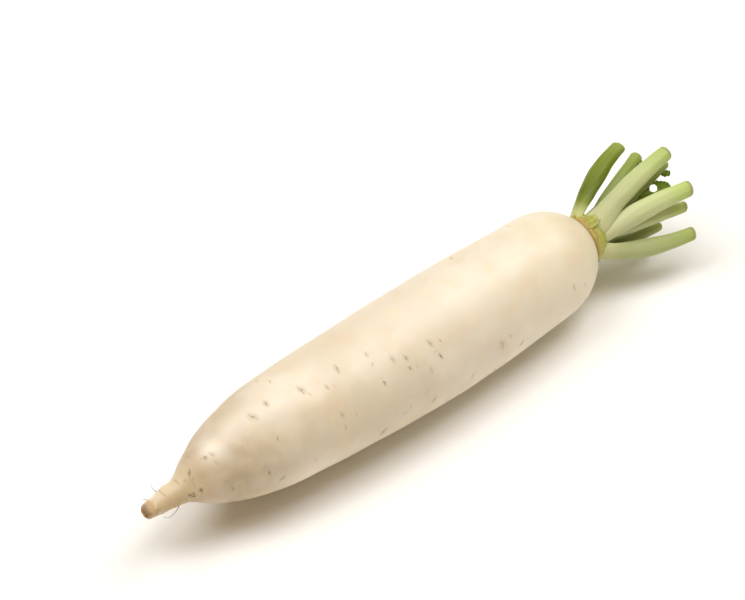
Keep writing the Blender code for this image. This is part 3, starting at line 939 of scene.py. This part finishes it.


# --- leaf stalks: juicy ribbed stalks, cut off about 6 cm above the crown ---

# foot, middle and cut are places on a stalk's midline: the distance along +X from the crown's
# foot, the distance from the crown's axis, and the degrees round it with 0 up and 90 to -Y.
# The sizes are width and thickness at the foot, halfway and at the cut, roll is the twist in
# degrees, and tone goes from 0, pale, to 1, deep green; the deepest tones are partly painted
# shade, for stalks drawn as if other stalks shaded them. "inside" is how round the side towards
stalkValues = {
    "stalk_1": {
        "foot": (0.007, 0.0100, 16), "middle": (0.033, 0.0242, 3), "cut": (0.0650, 0.0320, -1),
        "sizes": ((0.0158, 0.0062), (0.0116, 0.0092), (0.0092, 0.0078)), "roll": 20, "tone": 0.20,
    },
    "stalk_2": {
        "foot": (0.0102, 0.0092, 66), "middle": (0.034, 0.0214, 42), "cut": (0.0645, 0.0294, 47),
        "sizes": ((0.0100, 0.0062), (0.0120, 0.0084), (0.0096, 0.0072)), "tone": 0.10,
    },
    "stalk_3": {
        "foot": (0.0054, 0.0104, 108), "middle": (0.031, 0.0236, 109), "cut": (0.0620, 0.0320, 104),
        "sizes": ((0.0142, 0.0088), (0.0122, 0.0090), (0.0088, 0.0068)), "roll": -40, "tone": 0.40,
    },
    "stalk_4": {
        "foot": (0.004, 0.0100, 168), "middle": (0.033, 0.0146, 146), "cut": (0.0548, 0.0176, 147),
        "sizes": ((0.0098, 0.0054), (0.0112, 0.0080), (0.0090, 0.0068)), "tone": 0.70,
        "inside": (0.85, 0.06),
    },
    "stalk_5": {
        "foot": (0.004, 0.0100, 236), "middle": (0.030, 0.0200, 237), "cut": (0.0540, 0.0225, 240),
        "sizes": ((0.0100, 0.0054), (0.0100, 0.0074), (0.0080, 0.0060)), "tone": 0.45,
    },
    "stalk_6": {
        "foot": (0.003, 0.0106, 299), "middle": (0.028, 0.0266, 310), "cut": (0.0550, 0.0350, 306),
        # its deep green is partly painted shade, as if stalks above it shaded it
        "sizes": ((0.0134, 0.0066), (0.0122, 0.0086), (0.0096, 0.0070)), "roll": 40, "tone": 1.0,
    },
    "stalk_7": {
        "foot": (0.006, 0.0046, 88), "middle": (0.036, 0.0145, 72), "cut": (0.0635, 0.0214, 77),
        "sizes": ((0.0060, 0.0036), (0.0094, 0.0072), (0.0076, 0.0060)), "tone": 0.14,
        "inside": (0.75, 0.08),
    },
}

stalkDetail = {
    "sides": 72,
    "rings": 90,
    "innerBulge": 0.55,
    "groove": 0.20,
    "grooveWidth": 0.40,
    "cutEdge": 0.0026,  # how far the cut end is rounded, as it dries and shrinks
    "ribs": 9,
    "ribHeight": 0.00006,
    "waver": 0.00025,  # how far a stalk's skin strays from a true sweep
    "waverSize": 0.009,
    "capRings": 12,
    "hollow": 0.0005,  # how far the pith has sunk in the middle of the cut
    "pithRough": 0.00012,
    "pithRoughSize": 0.0012,
    "roundedBy": (0.0, 0.03, 0.08, 0.16, 0.24, 0.34, 0.46, 0.60, 0.80, 1.0),  # shares of cutEdge
    "pithFrom": 0.24,  # a share of cutEdge too
}


def nearCrown(place):
    along, spread, turn = place
    angle = math.radians(turn)
    return crownFoot + Vector((along, -math.sin(angle) * spread, math.cos(angle) * spread))


def stalkLine(shape):
    # a function giving the point, the way ahead, the side and the outward way at 0 to 1
    start, half, end = (nearCrown(shape[k]) for k in ("foot", "middle", "cut"))
    bent = half * 2 - (start + end) / 2
    roll = math.radians(shape.get("roll", 0))

    def at(t):
        point = start.lerp(bent, t).lerp(bent.lerp(end, t), t)
        ahead = (bent.lerp(end, t) - start.lerp(bent, t)).normalized()
        away = Vector((0.0, point.y - crownFoot.y, point.z - crownFoot.z))
        side = away.cross(ahead).normalized()
        side.rotate(Quaternion(ahead, roll * float(smoothStep(0.1, 0.6, t))))
        return point, ahead, side, ahead.cross(side)

    return at


def stalkSizes(shape, t, inset):
    low, wide, end = (np.array(size) for size in shape["sizes"])
    size = between(between(low, wide, smoothStep(0.0, 0.4, t)), end, smoothStep(0.4, 1.0, t))
    return size - 2 * inset * stalkDetail["cutEdge"]


def stalkRing(shape, at, t, inset, spread, seed):
    # one ring of a stalk's skin: round outside, grooved inside, ribbed along
    v = stalkDetail
    point, ahead, side, out = at(t)
    width, thickness = stalkSizes(shape, t, inset)
    angle = np.linspace(0, 2 * math.pi, v["sides"], endpoint=False)
    across, up = np.cos(angle) * width / 2, np.sin(angle) * thickness / 2
    bulge, depth = shape.get("inside", (v["innerBulge"], v["groove"]))
    groove = depth * thickness * np.exp(-((np.cos(angle) / v["grooveWidth"]) ** 2))
    up = np.where(up < 0, up * bulge + groove, up)
    ribs = np.cos(v["ribs"] * angle + seed) * v["ribHeight"] * (0.4 + 0.6 * np.abs(np.sin(angle)))
    ribs = ribs * smoothStep(0.05, 0.35, t) * (1 - 0.7 * inset)
    across, up = across + np.cos(angle) * ribs, up + np.sin(angle) * ribs
    curl = min((1 - 0.8 * float(smoothStep(0.1, 0.7, t))) / spread, 1 / width)
    up = up - curl * across * across / 2
    if t == 1.0:
        point = point - ahead * v["cutEdge"] * (1 - math.sqrt(max(0.0, 1 - (1 - inset) ** 2)))
    ring = np.array(point) + across[:, None] * np.array(side) + up[:, None] * np.array(out)
    stray = noiseOver(ring, v["waverSize"], seed) * v["waver"] * float(smoothStep(0.0, 0.2, t))
    outward = np.cos(angle)[:, None] * np.array(side) + np.sin(angle)[:, None] * np.array(out)
    section = np.stack([np.cos(angle) * width / 2, np.sin(angle) * thickness / 2], -1)
    return ring + outward * stray[:, None], section


def stalkMesh(name, shape, finishes, spread, seed):
    v = stalkDetail
    at = stalkLine(shape)
    length = (nearCrown(shape["cut"]) - nearCrown(shape["foot"])).length
    last = 1 - 1.1 * v["cutEdge"] / length
    steps = [(last * i / v["rings"], 0.0) for i in range(v["rings"] + 1)]
    steps += [(1.0, inset) for inset in v["roundedBy"]]
    rings, grain, along = [], [], []
    for t, inset in steps:
        ring, section = stalkRing(shape, at, t, inset, spread, seed)
        rings.append(ring)
        grain.append(np.column_stack([section, np.full(len(ring), t * length)]))
        along.append(np.full(len(ring), t))
    inner = 0.5 - 0.5 * np.sin(np.linspace(0, 2 * math.pi, v["sides"], endpoint=False))
    wallRings = len(rings)
    # the pith starts partway over the rounded end, where rim begins to fall from 1
    pithFrom = v["pithFrom"]
    rims = [1 - 0.6 * max(0.0, inset - pithFrom) / (1 - pithFrom) for _, inset in steps]
    skinRings = sum(inset <= pithFrom for _, inset in steps)
    rim = [np.full(v["sides"], value) for value in rims]
    face, centre = rings[-1], rings[-1].mean(0)
    ahead = np.array(at(1.0)[1])
    for i in range(1, v["capRings"]):
        inward = i / v["capRings"]
        ring = between(face, centre, inward)
        hollow = v["hollow"] * float(smoothStep(0.0, 1.0, inward))
        rough = v["pithRough"] * noiseOver(ring, v["pithRoughSize"], seed + 1.0)
        rings.append(ring - ahead * hollow + rough[:, None] * ahead)
        grain.append(grain[wallRings - 1] * (1 - inward))
        along.append(np.ones(v["sides"]))
        rim.append(np.full(v["sides"], rims[-1] * (1 - inward)))
    faces = tubeFaces(len(rings), v["sides"]) + endFaces(len(rings), v["sides"])
    count = len(rings) * v["sides"]
    tops = [centre - ahead * v["hollow"], rings[0].mean(0)]
    everything = np.concatenate([np.concatenate(rings), tops])
    measures = {
        "grain": np.concatenate([np.concatenate(grain), [[0, 0, length], [0, 0, 0]]]),
        "along": np.append(np.concatenate(along), [1.0, 0.0]),
        "rim": np.append(np.concatenate(rim), [0.0, 1.0]),
        "tone": np.full(count + 2, shape["tone"]),
        "inner": np.append(np.tile(inner, len(rings)), [0.5, 0.5]),
    }
    wallFaces = (skinRings - 1) * v["sides"]
    finishOf = [0] * wallFaces + [1] * (len(faces) - wallFaces)
    return meshPiece(name, everything, faces, finishes, finishOf, measures)


def stalkSkin():
    # Fresh radish stalk: thin shiny cuticle over watery green ribs, pale where it was shaded.
    finish, tree, along, tone, grain, inner = newFinish(
        "freshStalkSkin", "along", "tone", "grain", "inner"
    )
    # fibres run along the stalk about 0.6 mm apart, drawn twice as coarse and 25 times as long
    lengthways = addNode(tree, "VectorMath", multiply, {1: (1.0, 1.0, 0.04)}, {0: grain})
    ways = {"Vector": lengthways}
    fibres = addNode(tree, "TexNoise", None, {"Scale": 850.0, "Detail": 3.0}, ways)
    # and wider bands about 4 mm apart
    bands = addNode(tree, "TexNoise", None, {"Scale": 230.0, "Detail": 1.0}, ways)
    light = addNode(tree, "ValToRGB", links={0: along})
    colourStops(
        light,
        (
            (0.0, "C9C99C"), (0.25, "CED2A5"), (0.70, "CCD59C"), (0.92, "BACB76"),
            (0.98, "AFBF72"), (1.0, "A3A66E"),
        ),
    )
    # the deep tone, darkest from 0.21 to 0.80 along, is partly a deeper green and partly painted
    # shade, as if stalks above shaded it
    deep = addNode(tree, "ValToRGB", links={0: along})
    colourStops(
        deep,
        (
            (0.0, "C4C28C"), (0.10, "B8BC80"), (0.21, "727E1C"), (0.30, "5A680A"),
            (0.80, "72801C"), (1.0, "8E9A4A"),
        ),
    )
    green = addNode(tree, "Mix", colourMix, None, {0: tone, 6: light, 7: deep})
    banded = addNode(tree, "MapRange", None, {1: 0.42, 2: 0.72, 4: 0.15}, {0: bands})
    fibrous = addNode(tree, "MapRange", None, {1: 0.50, 2: 0.75, 4: 0.10}, {0: fibres})
    # painted shade: the side that faces the other stalks is darker green, as shade falls between
    # them
    innerShade = addNode(tree, "MapRange", smooth, {1: 0.60, 2: 0.98, 3: 0.0, 4: 0.40}, {0: inner})
    layers = (("A5B062", banded), ("E0E3BC", fibrous), ("75851E", innerShade))
    skin = {
        "Roughness": 0.44, "IOR": 1.40, "Specular IOR Level": 0.26, "Subsurface Weight": 0.22,
        "Subsurface Scale": 0.0015, "Subsurface Radius": (0.75, 1.0, 0.30),
    }
    closeFinish(tree, layColours(tree, green, layers), fibres, 0.22, 0.0003, skin)
    return finish


def stalkCut():
    # A knife cut a day old: pale watery pith with a greener ring, browned at the rim.
    finish, tree, rim, grain = newFinish("cutStalkPith", "rim", "grain")
    # watery cells about 0.3 mm across, drawn twice as coarse
    cells = addNode(tree, "TexVoronoi", None, {"Scale": 1500.0}, {"Vector": grain})
    ragged = addNode(tree, "Math", multiplyAdd, {1: 0.18}, {0: cells, 2: rim})
    ramp = addNode(tree, "ValToRGB", links={0: ragged})
    colourStops(ramp, ((0.10, "D9DDB4"), (0.55, "CDD596"), (0.80, "A9B764"), (1.0, "8E8A52")))
    pith = {
        "Roughness": 0.55, "IOR": 1.38, "Subsurface Weight": 0.3, "Subsurface Scale": 0.002,
    }
    closeFinish(tree, ramp, cells, 0.4, 0.0002, pith)
    return finish


stalkFinishes = (stalkSkin(), stalkCut())
for number, (node, shape) in enumerate(stalkValues.items(), 1):
    piece = stalkMesh(f"leafStalk{number}", shape, stalkFinishes, shape["foot"][1], 1.7 * number)
    growsOn(piece, node)
print("leaf stalks built")


# --- young leaves: slim stalks between the big ones, with the first frilly lobes of a blade ---

leafValues = {
    # Each lobe: where on the stalk, mm towards its side (minus is -Y), mm ahead, mm outward,
    # mm wide, and its holes as (mm from the lobe's foot, mm to the left, half sizes)
    "young_leaf_1": {
        "foot": (0.007, 0.0026, 200), "middle": (0.036, 0.0106, 7), "cut": (0.0668, 0.0210, -1.5),
        "sizes": ((0.0042, 0.0034), (0.0040, 0.0034), (0.0036, 0.0032)), "tone": 0.60,
        "lobes": (
            (0.89, -5.6, 2.8, -0.8, 4.8, ()),
            (0.62, -12.4, 14.0, -1.4, 16.0, ((8.4, 2.2, 2.3, 2.7),)),
            (0.50, -6.6, 13.6, -2.0, 9.0, ((6.6, -1.2, 0.7, 0.6),)),
            (0.84, 4.6, 3.6, -1.2, 4.6, ()),
            (0.64, 6.6, 7.0, -2.2, 7.0, ()),
            (0.47, 5.6, 6.5, -1.6, 6.0, ()),
        ),
    },
    "young_leaf_2": {
        "foot": (0.007, 0.0046, 325), "middle": (0.034, 0.0158, 319), "cut": (0.0620, 0.0245, 307),
        # its deep green is partly painted shade, as if stalks above it shaded it
        "sizes": ((0.0054, 0.0044), (0.0080, 0.0084), (0.0074, 0.0080)), "tone": 0.82,
        "inside": (0.85, 0.05),
        "lobes": (
            (0.88, -5.4, 2.4, -2.6, 4.6, ()),
            (0.72, -5.6, 3.4, -2.8, 5.0, ()),
            (0.84, 5.0, 3.0, -2.4, 4.6, ()),
        ),
    },
}

bladeValues = {
    "rows": 48,
    "columns": 26,
    "thickness": 0.40,  # these are in mm
    "teeth": 3.5,  # along each edge of a lobe
    "toothDepth": 0.16,  # in halves of its width
    "wave": 0.55,
    "waveTurn": 1.3,  # radians for each mm along the lobe
    "frill": 0.35,
    "frillTurn": 3.1,
    "wrinkle": 0.20,
    "wrinkleSize": 0.0016,  # in metres
    "fold": 0.05,  # how far the edges bend back
    # a lobe is narrow at its foot, up to this share of its length, and rounded at its end
    "neck": (0.55, 0.36),
    "roundFrom": 0.60,
    "roundLength": 0.405,
    "roundPower": 2.4,
}


def lobeHalf(along):
    # half the width of a lobe from its foot, 0, to its end, 1, for a width of 1
    v = bladeValues
    narrower, neckEnd = v["neck"]
    narrow = 1 - narrower * (1 - smoothStep(0.0, neckEnd, along))
    over = np.clip(along - v["roundFrom"], 0, None) / v["roundLength"]
    rounded = np.sqrt(np.clip(1 - over ** v["roundPower"], 0, 1))
    teeth = 1 - v["toothDepth"] * np.abs(np.sin(math.pi * v["teeth"] * along))
    return 0.5 * narrow * rounded * teeth


def lobeSheet(at, lobe, seed):
    # one lobe as a thin closed sheet: its points and faces, how near each point is to its edge,
    # and its place in the tissue
    v = bladeValues
    t, sideways, onward, outward, width, holes = lobe
    point, ahead, side, out = (np.array(part) for part in at(t))
    length = math.hypot(sideways, onward)
    forward = (side * sideways + ahead * onward + out * outward) / length
    left = (ahead * abs(sideways) + side * -math.copysign(onward, sideways)) / length
    normal = np.cross(forward, left)
    normal /= np.linalg.norm(normal)
    along, across = np.meshgrid(
        np.linspace(0, 1, v["rows"] + 1), np.linspace(-1, 1, v["columns"] + 1), indexing="ij"
    )
    reach = along * length
    apart = across * lobeHalf(along) * width
    wave = v["wave"] * np.sin(v["waveTurn"] * reach + seed) * across * across
    frill = np.sin(v["frillTurn"] * reach + 2 * across + seed) * np.abs(across) ** 3
    wave += v["frill"] * frill
    wave -= v["fold"] * apart**2 / max(1.0, width / 8)
    flat = np.stack([reach, apart, 0 * reach], -1) * millimetre
    wave += v["wrinkle"] * noiseOver(flat, v["wrinkleSize"], seed)
    middle = point + (
        reach[..., None] * forward + apart[..., None] * left + wave[..., None] * normal
    ) * millimetre
    half = v["thickness"] / 2 * (1 - 0.5 * np.abs(across)[..., None]) * millimetre
    points = np.concatenate([middle + normal * half, middle - normal * half]).reshape(-1, 3)
    each = along.size
    quads = sheetFaces(np.arange(each).reshape(along.shape))
    centre = (flat[:-1, :-1] + flat[1:, 1:]) / 2 / millimetre
    kept = np.ones(quads.shape[:2], dtype=bool)
    for far, over, halfLong, halfWide in holes:
        onward, sideways = (centre[..., 0] - far) / halfLong, (centre[..., 1] - over) / halfWide
        kept &= onward**2 + sideways**2 > 1
    quads = quads[kept].tolist()
    faces = [q[::-1] for q in quads] + [[k + each for k in q] for q in quads]
    edges = {(q[k], q[(k + 1) % 4]) for q in quads for k in range(4)}
    for a, b in edges:
        if (b, a) not in edges:
            faces.append([a, b, b + each, a + each])
    edge = np.tile(np.abs(across).ravel(), 2)
    grain = np.tile(flat.reshape(-1, 3) + np.array([0.0, 0.0, 0.03 * seed]), (2, 1))
    return points, faces, edge, grain


def bladeMesh(name, shape, finish, seed):
    at = stalkLine(shape)
    points, faces, edges, grains = [], [], [], []
    for i, lobe in enumerate(shape["lobes"]):
        first = sum(len(p) for p in points)
        made, lobeFaces, edge, grain = lobeSheet(at, lobe, seed + 1.9 * i)
        points.append(made)
        faces += [[k + first for k in face] for face in lobeFaces]
        edges.append(edge)
        grains.append(grain)
    measures = {"edge": np.concatenate(edges), "grain": np.concatenate(grains)}
    return meshPiece(name, np.concatenate(points), faces, (finish,), None, measures)


def leafBlade():
    # Young radish leaf: deep green, wrinkled between pale veins, faintly waxy.
    finish, tree, place, grain, edge = newFinish("youngRadishLeaf", "place", "grain", "edge")
    # veins leave a net of cells about 2 mm across
    veins = addNode(
        tree, "TexVoronoi", {"feature": "DISTANCE_TO_EDGE"}, {"Scale": 480.0}, {"Vector": grain}
    )
    # lighter and darker patches about 4 mm across
    patches = addNode(
        tree, "TexNoise", None, {"Scale": 260.0, "Detail": 3.0}, {"Vector": place}
    )
    ramp = addNode(tree, "ValToRGB", links={0: patches})
    colourStops(ramp, ((0.32, "4A5A05"), (0.70, "6E7E09")))
    vein = addNode(tree, "MapRange", smooth, {1: 0.0, 2: 0.10, 3: 0.6, 4: 0.0}, {0: veins})
    midrib = addNode(tree, "MapRange", smooth, {1: 0.05, 2: 0.30, 3: 0.8, 4: 0.0}, {0: edge})
    green = layColours(tree, ramp, [("76882A", vein), ("7E8E2C", midrib)])
    blade = {
        "Roughness": 0.48, "IOR": 1.42, "Specular IOR Level": 0.30, "Subsurface Weight": 0.25,
        "Subsurface Scale": 0.001, "Subsurface Radius": (0.6, 1.0, 0.2),
    }
    closeFinish(tree, green, vein, 0.6, 0.0003, blade)
    return finish


bladeFinish = leafBlade()
for number, (node, shape) in enumerate(leafValues.items(), 1):
    piece = stalkMesh(f"youngLeafStalk{number}", shape, stalkFinishes, 1.0, 2.9 * number)
    growsOn(piece, node)
    blade = bladeMesh(f"youngLeafBlade{number}", shape, bladeFinish, 1.3 * number)
    growsOn(blade, None)
print("young leaves built")


# --- hair roots: a few fine dry rootlets left at the tail ---

# each starts on the root (mm from the tip, degrees round), and goes by steps of
# (mm along +X, mm out from the root's middle, degrees round)
hairValues = {
    "radius": 0.00022,
    "tipRadius": 0.00006,
    "sides": 8,
    "pieces": 22,
    "foot": (0.4, -0.5, 0),  # the first step, which is under the skin
    "clearOfFloor": 0.0006,
    "hairs": (
        ((11.4, -60), ((-0.5, 1.6, 0), (-0.9, 3.2, 0), (-0.3, 5.8, 0))),
        ((5.2, -60), ((-0.7, 0.9, 0), (-1.6, 1.6, 4), (-2.9, 2.0, 8))),
        ((17.5, 112), ((-2.0, 1.2, 2), (-7.0, 2.4, 7), (-10.2, 0.9, 12))),
        ((27.0, 170), ((-1.5, 0.6, 4), (-4.0, 0.9, 10), (-7.0, 0.8, 14))),
        ((9.0, 200), ((-1.0, 1.0, 6), (-2.5, 1.8, 14), (-4.4, 2.0, 22))),
        ((31.0, 205), ((-1.2, 0.8, 4), (-3.6, 1.6, 9), (-6.8, 1.4, 16))),
    ),
}


def hairLine(hair):
    (place, turn), steps = hair
    share = place * millimetre / rootValues["length"]
    radius = float(rootRadius(share)) / millimetre
    middle = rootMiddle(np.array(share)) + shift
    line = []
    for along, out, sway in (hairValues["foot"], *steps):
        angle = math.radians(turn + sway)
        far = (radius + out) * millimetre
        point = [along * millimetre, -math.sin(angle) * far, math.cos(angle) * far]
        point = middle + np.array(point)
        point[2] = max(point[2], hairValues["clearOfFloor"])
        line.append(point)
    return line


def buildHairs(dry):
    v = hairValues
    points, faces = [], []
    for hair in v["hairs"]:
        line = hairLine(hair)
        stations = np.linspace(0, 1, len(line))
        t = np.linspace(0, 1, v["pieces"])
        path = np.stack(
            [smoothThrough(list(zip(stations, [p[k] for p in line])), t) for k in range(3)], -1
        )
        ahead = np.gradient(path, axis=0)
        ahead /= np.linalg.norm(ahead, axis=1)[:, None]
        side = np.cross(ahead, [0.2, 0.9, 0.4])
        side /= np.linalg.norm(side, axis=1)[:, None]
        up = np.cross(ahead, side)
        first = len(points)
        for i in range(v["pieces"]):
            thick = between(v["radius"], v["tipRadius"], t[i])
            for k in range(v["sides"]):
                a = 2 * math.pi * k / v["sides"]
                points.append(path[i] + thick * (math.cos(a) * side[i] + math.sin(a) * up[i]))
        faces += tubeFaces(v["pieces"], v["sides"], first)
        last = first + (v["pieces"] - 1) * v["sides"]
        faces.append([last + k for k in range(v["sides"])])
        faces.append([first + k for k in range(v["sides"])][::-1])
    hairs = meshPiece("hairRoots", points, faces, (dry,))
    growsOn(hairs, None)


def dryHair():
    # Dried hair roots: thin matt brown threads, mottled darker and paler.
    finish, tree, place = newFinish("dryHairRoot", "place")
    # mottles about 0.8 mm long
    mottle = addNode(
        tree, "TexNoise", None, {"Scale": 1200.0, "Detail": 2.0}, {"Vector": place}
    )
    ramp = addNode(tree, "ValToRGB", links={0: mottle})
    colourStops(ramp, ((0.35, "463D30"), (0.70, "7A6C54")))
    thread = addNode(
        tree, "BsdfPrincipled", None, {"Roughness": 0.7, "IOR": 1.45}, {"Base Color": ramp}
    )
    addNode(tree, "OutputMaterial", links={"Surface": thread})
    return finish


buildHairs(dryHair())
print("hair roots built")


# --- floor and light ---

studioValues = {
    "floorSize": 8.0,
    "floorHeight": -0.0002,  # just under what lies on it
    "floorColour": "F6F6F4",
    "roomColour": "FFE0AC",  # the warm bounce of a room from all round
    "roomStrength": 0.27,
    "boxColour": "FBFCFF",
    # each soft box: degrees round from +X, degrees above the floor, width in m, watts
    "boxes": (
        (0, 90, 1.2, 10.5), (0, 60, 1.0, 11.5), (135, 60, 1.0, 13.5), (272, 12, 0.9, 2.8),
    ),
    "boxDistance": 1.7,
}


def buildStudio():
    v = studioValues
    half = v["floorSize"] / 2
    corners = [(-half, -half), (half, -half), (half, half), (-half, half)]
    # Matt white paper: even all over, with soft shadows and next to no sheen.
    finish, tree = newFinish("mattWhitePaper")
    colour = linearColour(v["floorColour"])
    paper = {"Base Color": colour, "Roughness": 0.9, "Specular IOR Level": 0.1}
    surface = addNode(tree, "BsdfPrincipled", values=paper)
    addNode(tree, "OutputMaterial", links={"Surface": surface})
    points = [(x, y, v["floorHeight"]) for x, y in corners]
    meshPiece("studioFloor", points, [(0, 1, 2, 3)], (finish,))

    world = bpy.data.worlds.new("studioRoom")
    bpy.context.scene.world = world
    world.use_nodes = True
    tree = world.node_tree
    tree.nodes.clear()
    bounce = {"Color": linearColour(v["roomColour"]), "Strength": v["roomStrength"]}
    room = addNode(tree, "Background", values=bounce)
    wall = addNode(tree, "Background", values={"Color": linearColour("FFFFFF")})
    seen = addNode(tree, "LightPath").outputs["Is Camera Ray"]
    mixed = addNode(tree, "MixShader", links={0: seen, 1: room, 2: wall})
    addNode(tree, "OutputWorld", links={"Surface": mixed})

    for number, (turn, height, width, power) in enumerate(v["boxes"], 1):
        name = f"softBox{number}"
        box = bpy.data.objects.new(name, bpy.data.lights.new(name, "AREA"))
        box.data.shape, box.data.size, box.data.energy = "DISK", width, power
        box.data.color = linearColour(v["boxColour"])[:3]
        turn, height = math.radians(turn), math.radians(height)
        level = math.cos(height)
        way = Vector((math.cos(turn) * level, math.sin(turn) * level, math.sin(height)))
        box.location = way * v["boxDistance"]
        box.rotation_mode = "QUATERNION"
        box.rotation_quaternion = way.to_track_quat("Z", "Y")
        bpy.context.scene.collection.objects.link(box)
    bpy.context.scene.view_settings.view_transform = "Standard"


buildStudio()
print("studio built")
